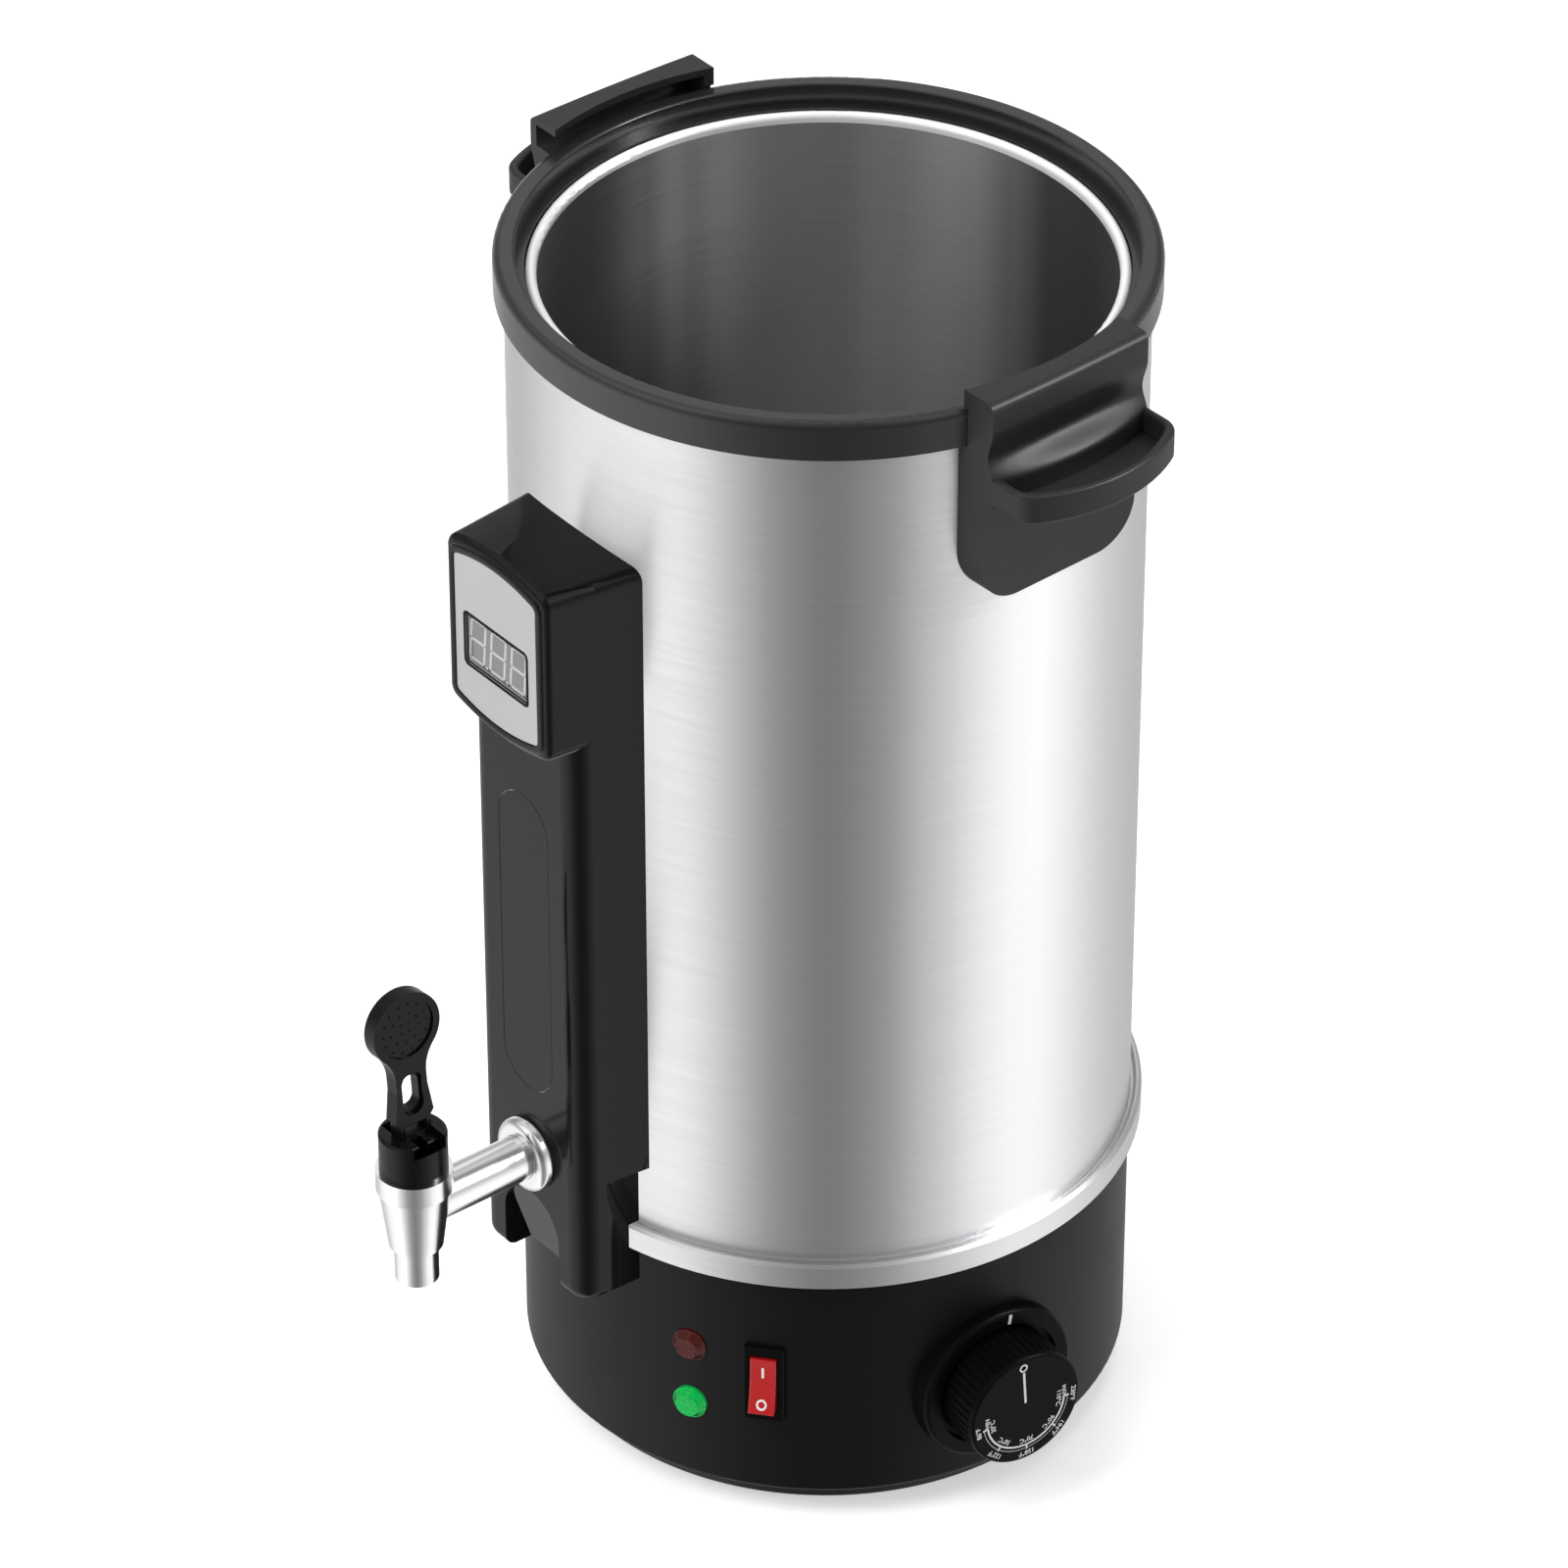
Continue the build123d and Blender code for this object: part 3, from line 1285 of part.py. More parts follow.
# Lever: a round thumb paddle on a slotted neck, leaning back from its pins; its foot is a pair of
# cams either side of the stem, with a window above them for the stem's head
lean = radians(lever_lean)
lever_up = Vector(0, sin(lean), cos(lean))
lever_section = Plane(
    TAP.offset(pivot_height).origin - lever_up * pivot_height,
    x_dir=(1, 0, 0),
    z_dir=(0, -cos(lean), sin(lean)),
)
lever_face = lever_section.offset(lever_thickness / 2)
lever_centre = lever_top - lever_head_radius
with BuildPart() as tap_lever:
    with BuildSketch(lever_section) as lever_outline:
        with Locations((0, lever_centre)):
            Circle(lever_head_radius)
        with Locations((0, (lever_centre + lever_shoulder) / 2)):
            Rectangle(lever_neck_width, lever_centre - lever_shoulder)
        fillet(
            lever_outline.vertices().filter_by_position(Axis.Y, lever_shoulder + 5, lever_centre),
            lever_waist_radius,
        )
        with BuildLine():
            Polyline(
                (-lever_shoulder_width / 2, lever_shoulder),
                (lever_shoulder_width / 2, lever_shoulder),
                (lever_neck_width / 2, lever_shoulder + lever_flare),
                (-lever_neck_width / 2, lever_shoulder + lever_flare),
                close=True,
            )
        make_face()
        with Locations((0, (lever_shoulder + pivot_height) / 2)):
            Rectangle(lever_foot_width, lever_shoulder - pivot_height)
        shoulder_corners = lever_outline.vertices().filter_by_position(
            Axis.Y, lever_shoulder - 1, lever_shoulder + 1
        )
        chamfer(shoulder_corners.sort_by(Axis.X)[0], lever_shoulder_cut)
        chamfer(shoulder_corners.sort_by(Axis.X)[-1], lever_shoulder_cut)
    extrude(amount=lever_thickness / 2, both=True)
    fillet(tap_lever.faces().sort_by(Axis.Y)[0].outer_wire().edges(), lever_edge)
    with BuildSketch(Plane(TAP.offset(pivot_height).origin, x_dir=(0, 1, 0), z_dir=(1, 0, 0))) as cam_outline:
        with Locations((0, (lever_cam_rise - lever_cam_drop) / 2)):
            RectangleRounded(2 * lever_cam_half, lever_cam_rise + lever_cam_drop, 1)
    extrude(amount=lever_foot_width / 2, both=True)
    with BuildSketch(lever_face.offset(10)):
        with Locations((0, pivot_height + (lever_cam_rise + lever_window_roof) / 2)):
            Rectangle(2 * lever_window_half, lever_window_roof - lever_cam_rise)
        with Locations((0, pivot_height)):
            Rectangle(2 * lever_slot_half, 2 * lever_cam_rise)
    extrude(amount=-30, mode=Mode.SUBTRACT)
    with Locations(TAP.offset(pivot_height)):
        Cylinder(pivot_radius + shaft_fit, 2 * lever_foot_width, rotation=(0, 90, 0), mode=Mode.SUBTRACT)
    with BuildSketch(lever_face):
        with Locations((0, lever_centre)):
            Circle(lever_head_radius - lever_rim)
    extrude(amount=-lever_recess_depth, mode=Mode.SUBTRACT)
    with BuildSketch(lever_face):
        with Locations((0, neck_slot_height)):
            SlotOverall(neck_recess_length, neck_recess_width, rotation=90)
    extrude(amount=-neck_recess_depth, mode=Mode.SUBTRACT)
    with BuildSketch(lever_face):
        with Locations((0, neck_slot_height)):
            SlotOverall(neck_slot_length, neck_slot_width, rotation=90)
    extrude(amount=-lever_thickness, mode=Mode.SUBTRACT)
save_turned(tap_lever, "tap_lever")

# Plunger: a stem with a collar and a head bar, the silicone plug on its end, and the closing spring
collar_bottom = valve_seat + plug_thickness
head_bar_bottom = pivot_height + lever_cam_rise + running_gap
with BuildPart() as tap_plunger:
    with BuildSketch(TAP.offset(collar_bottom)):
        Circle(collar_radius)
    extrude(amount=collar_thickness)
    with BuildSketch(TAP.offset(collar_bottom)):
        Circle(stem_radius)
    extrude(amount=head_bar_bottom + stem_head[2] - collar_bottom)
    with BuildSketch(TAP.offset(head_bar_bottom)):
        Rectangle(stem_head[0], stem_head[1])
    extrude(amount=stem_head[2])
save_turned(tap_plunger, "tap_plunger")

with BuildPart() as tap_plug:
    with BuildSketch(TAP.offset(collar_bottom)):
        Circle(plug_radius)
    extrude(amount=-(plug_thickness - plug_gap))
    chamfer(tap_plug.edges().sort_by(Axis.Z)[0], 0.8)
save(tap_plug, "tap_valve_seal")

with BuildPart() as tap_spring:
    with BuildSketch(TAP.offset(collar_bottom + collar_thickness + sheet_gap)):
        Circle(spring_radius)
        Circle(spring_radius - spring_wall, mode=Mode.SUBTRACT)
    extrude(amount=cup_top - bonnet_spigot - collar_bottom - collar_thickness - 2 * sheet_gap)
save(tap_spring, "tap_spring")

# Handles: each hooks over the rim ring, with a troughed ledge to lift by and a plate down the shell.
# The channel under the hook takes a lid's tab, so it is open at one end and stopped at the other.
ledge_top = ring_top - ledge_top_drop
ledge_bottom = ledge_top - ledge_depth
handle_top = ring_top + handle_top_rise
handle_foot = ring_top - handle_plate_drop
handle_back = sqrt(shell_radius**2 - handle_half_width**2) - hook_wall
hook_channel_floor = ring_top - hook_channel_drop
hook_underside = handle_top - hook_thickness


def bowed_outline(reach, half, bow, start):
    """Draws a closed plan from start out to reach, its outer side bowed across its half-width."""
    ThreePointArc((reach - bow, -half), (reach, 0), (reach - bow, half))
    Polyline((reach - bow, half), (start, half), (start, -half), (reach - bow, -half))


def draw_wall(rise):
    """Draws a handle wall's plan at a height over the ledge: a brow at the foot, a cove, then flat."""
    foot_share = (1 + cos(pi * min(max((rise + brow_drop) / (cove_rise + brow_drop), 0), 1))) / 2
    dip_share = (1 + cos(pi * min(max((rise - cove_rise) / (cove_top - cove_rise), 0), 1))) / 2
    proud = (brow_proud + cove_depth) * foot_share - cove_depth * dip_share
    bow = handle_bow + (brow_bow - handle_bow) * foot_share
    bowed_outline(handle_outer + proud, handle_half_width, bow, handle_back)


with BuildPart() as handle:
    # The ledge, with its trough
    with BuildSketch(Plane.XY.offset(ledge_bottom)) as ledge_plan:
        with BuildLine():
            bowed_outline(ledge_reach, handle_half_width, ledge_bow, handle_back)
        make_face()
        fillet(ledge_plan.vertices().group_by(Axis.X)[-1], ledge_corner)
    extrude(amount=ledge_depth)
    with BuildSketch(Plane.XY.offset(ledge_top)) as trough_plan:
        with BuildLine():
            bowed_outline(
                ledge_reach - ledge_wall,
                handle_half_width - ledge_wall,
                ledge_bow,
                handle_outer - handle_top_edge,
            )
        make_face()
        fillet(trough_plan.vertices().group_by(Axis.X)[-1], ledge_corner - ledge_wall)
    extrude(amount=-trough_depth, mode=Mode.SUBTRACT)
    fillet(handle.faces().sort_by(Axis.Z)[-1].edges(), ledge_edge)
    fillet(handle.faces().sort_by(Axis.Z)[0].edges().sort_by(Axis.X)[-1], ledge_edge)
    # The wall: flat along its top, coved above the ledge, and bowed where it drops into the trough
    for step in range(face_steps + 1):
        rise = -brow_drop + step * (cove_top + brow_drop) / face_steps
        with BuildSketch(Plane.XY.offset(ledge_top + rise)):
            with BuildLine():
                draw_wall(rise)
            make_face()
    loft()
    for rise, height in ((-ledge_depth, ledge_depth - brow_drop), (cove_top, handle_top - ledge_top - cove_top)):
        with BuildSketch(Plane.XY.offset(ledge_top + rise)):
            with BuildLine():
                draw_wall(rise)
            make_face()
        extrude(amount=height)
    fillet(handle.faces().sort_by(Axis.Z)[-1].edges().sort_by(Axis.X)[-1], handle_top_edge)
    # The plate that lies on the shell below, rounded at its lower corners
    with BuildSketch(Plane((handle_back, 0, 0), x_dir=(0, 1, 0), z_dir=(1, 0, 0))) as elevation:
        with Locations((0, (ledge_bottom + handle_foot) / 2)):
            Rectangle(2 * handle_half_width, ledge_bottom - handle_foot)
        fillet(elevation.vertices().group_by(Axis.Y)[0], handle_plate_corner)
    extrude(amount=handle_outer - handle_plate_setback - handle_back)
    # Fitted to the shell, the rim ring and the room over the ring
    for level, top, radius in (
        (handle_foot, ring_bottom - handle_inner_gap, shell_radius + handle_inner_gap),
        (ring_bottom - handle_inner_gap, ring_top + handle_inner_gap, ring_radius + handle_inner_gap),
        (ring_top + handle_inner_gap, handle_top, hook_bore),
    ):
        with BuildSketch(Plane.XY.offset(level)):
            Circle(radius)
        extrude(amount=top - level, mode=Mode.SUBTRACT)
    with BuildSketch(Plane.XY.offset(hook_channel_floor)):
        with Locations((0, hook_stop)):
            Rectangle(2 * (handle_outer - hook_wall), 2 * handle_half_width)
    extrude(amount=hook_underside - hook_channel_floor, mode=Mode.SUBTRACT)
    for drop in handle_screw_drops:
        seat = Plane((handle_screw_reach, 0, ring_top - drop), x_dir=(0, 1, 0), z_dir=(1, 0, 0))
        cut_bore(seat, large_screw[2] + screw_clearance, handle_outer - handle_back, 2 * running_gap)
for azimuth, handle_name in zip(handle_azimuths, ("handle_left", "handle_right")):
    with BuildPart() as placed_handle:
        with Locations(Location((0, tank_y, 0), (0, 0, azimuth - 90))):
            add(handle.part)
    save(placed_handle, handle_name)

# A curved bracket inside the shell behind each handle, and the screws through both
bracket_high = ring_top - handle_screw_drops[0] + bracket_margin
bracket_low = ring_top - handle_screw_drops[1] - bracket_margin
with BuildPart() as handle_brackets:
    for azimuth in handle_azimuths:
        with BuildSketch(TANK.offset(bracket_low)):
            Circle(shell_bore - sheet_gap)
            Circle(shell_bore - sheet_gap - bracket_thickness, mode=Mode.SUBTRACT)
            with PolarLocations(shell_bore, 1, start_angle=azimuth - 90):
                Rectangle(shell_bore, 2 * bracket_half_width, mode=Mode.INTERSECT)
        extrude(amount=bracket_high - bracket_low)
        for drop in handle_screw_drops:
            cut_bore(
                outward(azimuth, ring_top - drop, shell_radius),
                large_screw[2] + screw_clearance,
                8,
            )
save(handle_brackets, "handle_brackets")

with BuildPart() as handle_screws:
    for azimuth in handle_azimuths:
        for drop in handle_screw_drops:
            seat = outward(azimuth, ring_top - drop, handle_screw_seat)
            add_screw(-seat, large_screw, handle_screw_reach - handle_screw_seat)
save(handle_screws, "handle_screws")
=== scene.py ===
"""Dresses the wax melter's solids for its portrait: brushed steel, moulded black plastic, chromed
trim, printed marks and lenses, with the studio that it stands in. Metres, +Z up, front to -Y."""

import logging
from dataclasses import dataclass
from enum import Enum
from math import atan2, copysign, cos, hypot, pi, radians, sin, tan

import bmesh
import bpy
from mathutils import Matrix, Vector
from mathutils.bvhtree import BVHTree


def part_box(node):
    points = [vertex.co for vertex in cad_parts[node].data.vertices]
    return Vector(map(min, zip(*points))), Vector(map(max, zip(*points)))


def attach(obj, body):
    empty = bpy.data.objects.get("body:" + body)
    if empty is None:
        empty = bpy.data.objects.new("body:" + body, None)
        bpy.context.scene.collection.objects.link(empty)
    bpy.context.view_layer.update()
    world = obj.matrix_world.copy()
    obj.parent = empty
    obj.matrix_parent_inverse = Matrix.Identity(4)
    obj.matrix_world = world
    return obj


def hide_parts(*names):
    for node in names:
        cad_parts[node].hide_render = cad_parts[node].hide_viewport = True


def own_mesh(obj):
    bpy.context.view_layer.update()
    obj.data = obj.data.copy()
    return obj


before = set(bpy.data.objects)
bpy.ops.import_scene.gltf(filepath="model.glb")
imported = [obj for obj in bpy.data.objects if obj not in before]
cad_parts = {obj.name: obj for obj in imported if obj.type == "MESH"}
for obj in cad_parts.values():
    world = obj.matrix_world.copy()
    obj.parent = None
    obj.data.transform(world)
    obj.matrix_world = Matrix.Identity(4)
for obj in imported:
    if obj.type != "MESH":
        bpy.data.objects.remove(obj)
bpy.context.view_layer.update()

log = logging.getLogger("wax_melter")
MM = 0.001
# How close two points are when they count as one
HAIR = 0.001 * MM
Colour = tuple[float, float, float]
Flat = tuple[float, float]
Stops = tuple[Flat, ...]
Node = bpy.types.Node
Socket = bpy.types.NodeSocket
Shape = bmesh.types.BMesh
Ring = list[bmesh.types.BMVert]


def grey(tone: float) -> Colour:
    """Returns a neutral colour."""
    return (tone, tone, tone)


def placed(name: str, data: bpy.types.ID) -> bpy.types.Object:
    """Puts a new object into the scene.

    Args:
        name: Its name.
        data: Its mesh, camera, lamp or lettering.

    Returns:
        The object.
    """
    made = bpy.data.objects.new(name, data)
    bpy.context.scene.collection.objects.link(made)
    return made


# ---------------------------------------------------------------- the tank's frame of reference


@dataclass(frozen=True)
class Tank:
    """The upright axis that every reach and azimuth is measured from."""

    y: float = 39.05 * MM
    ring_top: float = 447.0 * MM

    def wall(self, azimuth: float, height: float, reach: float) -> Matrix:
        """Places a flat piece on a wall that faces away from the axis.

        Args:
            azimuth: Degrees round the axis from the front, towards +X.
            height: Metres above the surface that the feet stand on.
            reach: Metres from the axis to the wall.

        Returns:
            A matrix whose x runs along the wall, y upwards and z outwards.
        """
        a = radians(azimuth)
        across = Vector((cos(a), sin(a), 0))
        out = Vector((sin(a), -cos(a), 0))
        place = Matrix((across, Vector((0, 0, 1)), out)).transposed().to_4x4()
        place.translation = Vector((reach * sin(a), self.y - reach * cos(a), height))
        return place


TANK = Tank()


# ---------------------------------------------------------------- node trees


class Sheet:
    """Adds and wires the nodes of one shader tree."""

    def __init__(self, tree: bpy.types.NodeTree) -> None:
        """Starts on an emptied tree."""
        self.tree = tree
        tree.nodes.clear()

    def add(self, kind: str, **settings: object) -> Node:
        """Adds a node and sets its options and unlinked inputs.

        Args:
            kind: The node's type, without the ShaderNode prefix.
            **settings: Options by attribute name, or input values by socket name with spaces
                written as underscores.

        Returns:
            The new node.
        """
        prefix = "" if kind.startswith(("Node", "Shader")) else "ShaderNode"
        node = self.tree.nodes.new(prefix + kind)
        for key, value in settings.items():
            if hasattr(node, key):
                setattr(node, key, value)
            else:
                node.inputs[key.replace("_", " ")].default_value = value
        return node

    def wire(self, source: Socket, target: Socket) -> None:
        """Joins an output to an input."""
        self.tree.links.new(source, target)

    def maths(self, operation: str, *values: object) -> Socket:
        """Adds a Math node.

        Args:
            operation: Its operation.
            *values: Sockets or numbers, in order.

        Returns:
            Its output.
        """
        node = self.add("Math", operation=operation)
        for socket, value in zip(node.inputs, values):
            if isinstance(value, Socket):
                self.wire(value, socket)
            else:
                socket.default_value = value
        return node.outputs[0]

    def ramp(self, factor: Socket, stops: Stops, interpolation: str = "LINEAR") -> Socket:
        """Adds a grey ramp.

        Args:
            factor: What drives it.
            stops: Positions and grey values.
            interpolation: How it goes from stop to stop.

        Returns:
            Its colour.
        """
        node = self.add("ValToRGB")
        band = node.color_ramp
        band.interpolation = interpolation
        while len(band.elements) < len(stops):
            band.elements.new(0.5)
        for element, (position, tone) in zip(band.elements, stops):
            element.position = position
            element.color = (*grey(tone), 1)
        self.wire(factor, node.inputs[0])
        return node.outputs[0]

    def where(self) -> Socket:
        """Returns the surface's own coordinates, in metres."""
        return self.add("TexCoord").outputs["Object"]

    def split(self, point: Socket) -> bpy.types.NodeOutputs:
        """Splits a point.

        Args:
            point: The point.

        Returns:
            Its coordinates, by the names X, Y and Z.
        """
        node = self.add("SeparateXYZ")
        self.wire(point, node.inputs[0])
        return node.outputs

    def surface(self, node: Node, kind: str = "OutputMaterial") -> None:
        """Ends the tree with what shades the surface."""
        self.wire(node.outputs[0], self.add(kind).inputs["Surface"])

    def place(self, group: bpy.types.NodeTree, **values: float) -> Node:
        """Places a shared effect with this material's own values.

        Args:
            group: The effect.
            **values: Its inputs by name, with spaces written as underscores.

        Returns:
            The node.
        """
        node = self.add("Group", node_tree=group)
        for key, value in values.items():
            node.inputs[key.replace("_", " ")].default_value = value
        return node


def coated(name: str) -> tuple[bpy.types.Material, Sheet]:
    """Makes a material with nodes.

    Args:
        name: What it is called.

    Returns:
        The material, and its tree to be filled.
    """
    made = bpy.data.materials.new(name)
    made.use_nodes = True
    return made, Sheet(made.node_tree)


class Effect(Enum):
    """The effects that several materials share, each a node group built once."""

    TURNED_GRAIN = "turned grain"
    MOULDED_SKIN = "moulded skin"
    HANDLING = "handling marks"

    def group(self) -> bpy.types.NodeTree:
        """Returns the effect's node group, and builds it on first use."""
        found = bpy.data.node_groups.get(self.value)
        if found:
            return found
        tree = bpy.data.node_groups.new(self.value, "ShaderNodeTree")
        {
            Effect.TURNED_GRAIN: self._turned_grain,
            Effect.MOULDED_SKIN: self._moulded_skin,
            Effect.HANDLING: self._handling,
        }[self](tree)
        return tree

    @staticmethod
    def _socket(tree: bpy.types.NodeTree, name: str, way: str, value: float | None = None) -> None:
        """Adds a named float socket to a group's interface."""
        made = tree.interface.new_socket(name, in_out=way, socket_type="NodeSocketFloat")
        if value is not None:
            made.default_value = value

    @classmethod
    def _turned_grain(cls, tree: bpy.types.NodeTree) -> None:
        """Fine brushed lines round the tank's axis, as polishing on a lathe leaves them.

        Args:
            tree: The effect's tree.
        """
        cls._socket(tree, "Lines per metre", "INPUT", 2600)
        cls._socket(tree, "Length", "INPUT", 9)
        cls._socket(tree, "Fine", "OUTPUT")
        cls._socket(tree, "Streaks", "OUTPUT")
        s = Sheet(tree)
        given, made = s.add("NodeGroupInput"), s.add("NodeGroupOutput")
        at = s.split(s.where())
        turn = s.maths("ARCTAN2", at["X"], s.maths("SUBTRACT", at["Y"], TANK.y))
        along = s.maths("MULTIPLY", turn, given.outputs["Length"])
        up = s.maths("MULTIPLY", at["Z"], given.outputs["Lines per metre"])
        # The streaks are wider and longer than the lines, and more broken
        for label, share, detail in (("Fine", 1.0, 2.0), ("Streaks", 0.22, 4.0)):
            point = s.add("CombineXYZ")
            s.wire(s.maths("MULTIPLY", along, share), point.inputs[0])
            s.wire(s.maths("MULTIPLY", up, share), point.inputs[1])
            noise = s.add("TexNoise", Scale=1.0, Detail=detail, Roughness=0.6)
            s.wire(point.outputs[0], noise.inputs["Vector"])
            s.wire(noise.outputs["Fac"], made.inputs[label])

    @classmethod
    def _moulded_skin(cls, tree: bpy.types.NodeTree) -> None:
        """The fine spark-eroded texture of a moulding.

        Args:
            tree: The effect's tree.
        """
        cls._socket(tree, "Grain size", "INPUT", 0.6 * MM)
        cls._socket(tree, "Pits", "OUTPUT")
        s = Sheet(tree)
        given, made = s.add("NodeGroupInput"), s.add("NodeGroupOutput")
        pits = s.add("TexNoise", Detail=3.0, Roughness=0.55)
        s.wire(s.where(), pits.inputs["Vector"])
        s.wire(s.maths("DIVIDE", 1.0, given.outputs["Grain size"]), pits.inputs["Scale"])
        s.wire(pits.outputs["Fac"], made.inputs["Pits"])

    @classmethod
    def _handling(cls, tree: bpy.types.NodeTree) -> None:
        """Faint smears where hands and cloths have been.

        Args:
            tree: The effect's tree.
        """
        cls._socket(tree, "Spread", "INPUT", 22)
        cls._socket(tree, "Smear", "OUTPUT")
        s = Sheet(tree)
        given, made = s.add("NodeGroupInput"), s.add("NodeGroupOutput")
        noise = s.add("TexNoise", Detail=5.0, Roughness=0.65, Distortion=0.6)
        s.wire(s.where(), noise.inputs["Vector"])
        s.wire(given.outputs["Spread"], noise.inputs["Scale"])
        s.wire(s.ramp(noise.outputs["Fac"], ((0.35, 0.0), (0.75, 1.0))), made.inputs["Smear"])


# ---------------------------------------------------------------- finishes


@dataclass(frozen=True)
class Finish:
    """What every finish has: its name, colour and gloss."""

    name: str
    colour: Colour
    roughness: float

    def material(self) -> bpy.types.Material:
        """Returns the finish's material, and builds it on first use."""
        found = bpy.data.materials.get(self.name)
        if found:
            return found
        made, sheet = coated(self.name)
        shader = sheet.add("BsdfPrincipled")
        sheet.surface(shader)
        shader.inputs["Base Color"].default_value = (*self.colour, 1)
        shader.inputs["Roughness"].default_value = self.roughness
        self.dress(sheet, shader)
        return made

    def dress(self, sheet: Sheet, shader: Node) -> None:
        """Wires what is special to the finish."""

    def vary(self, sheet: Sheet, shader: Node, mask: Socket, rough: float, shade: float) -> None:
        """Lets roughness and colour follow a mask.

        Args:
            sheet: The material's tree.
            shader: Its Principled node.
            mask: A value from 0 to 1.
            rough: Roughness added where the mask is 1.
            shade: Share of the colour lost where the mask is 1.
        """
        spread = sheet.maths("MULTIPLY_ADD", mask, rough, self.roughness - rough / 2)
        sheet.wire(spread, shader.inputs["Roughness"])
        mix = sheet.add("Mix", data_type="RGBA")
        mix.inputs["A"].default_value = (*self.colour, 1)
        mix.inputs["B"].default_value = (*[c * (1 - shade) for c in self.colour], 1)
        sheet.wire(mask, mix.inputs["Factor"])
        sheet.wire(mix.outputs["Result"], shader.inputs["Base Color"])

    def relief(self, sheet: Sheet, shader: Node, height: Socket, depth: float) -> None:
        """Raises a height map.

        Args:
            sheet: The material's tree.
            shader: Its Principled node.
            height: A value from 0 to 1.
            depth: Metres between 0 and 1.
        """
        bump = sheet.add("Bump", Strength=1.0, Distance=depth)
        sheet.wire(height, bump.inputs["Height"])
        sheet.wire(bump.outputs[0], shader.inputs["Normal"])


@dataclass(frozen=True)
class TurnedSteel(Finish):
    """Steel brushed round the tank's axis.

    stretch and quarter_turn shape its highlight, grain is the depth of its lines in metres, and
    uneven and shade are how far its streaks change its roughness and its colour.
    """

    stretch: float = 0.75
    quarter_turn: float = 0.25
    grain: float = 0.01 * MM
    lines: float = 2600.0
    length: float = 9.0
    uneven: float = 0.12
    shade: float = 0.12

    def dress(self, sheet: Sheet, shader: Node) -> None:
        """Adds the brushed lines and stretches the highlight across them.

        Args:
            sheet: The material's tree.
            shader: Its Principled node.
        """
        shader.inputs["Metallic"].default_value = 1.0
        shader.inputs["Anisotropic"].default_value = self.stretch
        shader.inputs["Anisotropic Rotation"].default_value = self.quarter_turn
        tangent = sheet.add("Tangent", direction_type="RADIAL", axis="Z")
        sheet.wire(tangent.outputs[0], shader.inputs["Tangent"])
        lines = Effect.TURNED_GRAIN.group()
        grain = sheet.place(lines, Lines_per_metre=self.lines, Length=self.length)
        self.vary(sheet, shader, grain.outputs["Streaks"], self.uneven, self.shade)
        self.relief(sheet, shader, grain.outputs["Fine"], self.grain)


@dataclass(frozen=True)
class PotSteel(TurnedSteel):
    """Turned steel: soft upright painted reflection inside, a polished bead painted near-white."""

    bead_foot: float = 436.4 * MM
    # The bead's near-white grey and lower metallic are its painted highlight
    bead_painted_highlight_grey: float = 0.95
    bead_metallic: float = 0.35
    wall_metallic: float = 0.9
    # Degrees round the axis that the painted reflection is turned to
    painted_reflection_face: float = 51.5
    # Painted reflection: tone against the angle from the wall that faces the portrait's camera, in
    # degrees
    painted_reflection_bands: Stops = (
        (-180, 0.8),
        (-66, 0.16),
        (-50, 0.14),
        (-40, 0.17),
        (-30, 0.42),
        (-20, 0.85),
        (-8, 0.75),
        (2, 0.7),
        (12, 0.9),
        (22, 1.0),
        (32, 0.9),
        (40, 0.65),
        (52, 0.26),
        (66, 0.2),
        (180, 0.8),
    )

    def dress(self, sheet: Sheet, shader: Node) -> None:
        """Adds the painted reflection and the bead's painted highlight.

        Args:
            sheet: The material's tree.
            shader: Its Principled node.
        """
        super().dress(sheet, shader)
        # Painted reflection: a tone for each angle round the axis, in upright stripes down the wall
        turned = sheet.add("VectorRotate", rotation_type="Z_AXIS", Angle=radians(-self.painted_reflection_face))
        turned.inputs["Center"].default_value = (0, TANK.y, 0)
        sheet.wire(sheet.where(), turned.inputs["Vector"])
        at = sheet.split(turned.outputs[0])
        turn = sheet.maths("ARCTAN2", at["X"], sheet.maths("SUBTRACT", at["Y"], TANK.y))
        share = sheet.maths("MULTIPLY_ADD", turn, 0.5 / pi, 0.5)
        tones = sheet.ramp(share, tuple((0.5 + d / 360, tone) for d, tone in self.painted_reflection_bands), "EASE")
        painted_stripes = sheet.add("Mix", data_type="RGBA", blend_type="MULTIPLY", Factor=1.0)
        sheet.wire(shader.inputs["Base Color"].links[0].from_socket, painted_stripes.inputs["A"])
        sheet.wire(tones, painted_stripes.inputs["B"])
        # Painted highlight: above its foot the bead is near-white and less metallic
        bead = sheet.maths("GREATER_THAN", at["Z"], self.bead_foot)
        mouth = sheet.add("Mix", data_type="RGBA")
        sheet.wire(bead, mouth.inputs["Factor"])
        sheet.wire(painted_stripes.outputs["Result"], mouth.inputs["A"])
        mouth.inputs["B"].default_value = (*grey(self.bead_painted_highlight_grey), 1)
        sheet.wire(mouth.outputs["Result"], shader.inputs["Base Color"])
        change = self.bead_metallic - self.wall_metallic
        metallic = sheet.maths("MULTIPLY_ADD", bead, change, self.wall_metallic)
        sheet.wire(metallic, shader.inputs["Metallic"])


@dataclass(frozen=True)
class BrightMetal(Finish):
    """Polished or plated metal, with faint smears."""

    smear: float = 0.06
    shade: float = 0.04
    spread: float = 60.0

    def dress(self, sheet: Sheet, shader: Node) -> None:
        """Adds the smears.

        Args:
            sheet: The material's tree.
            shader: Its Principled node.
        """
        shader.inputs["Metallic"].default_value = 1.0
        marks = sheet.place(Effect.HANDLING.group(), Spread=self.spread)
        self.vary(sheet, shader, marks.outputs["Smear"], self.smear, self.shade)


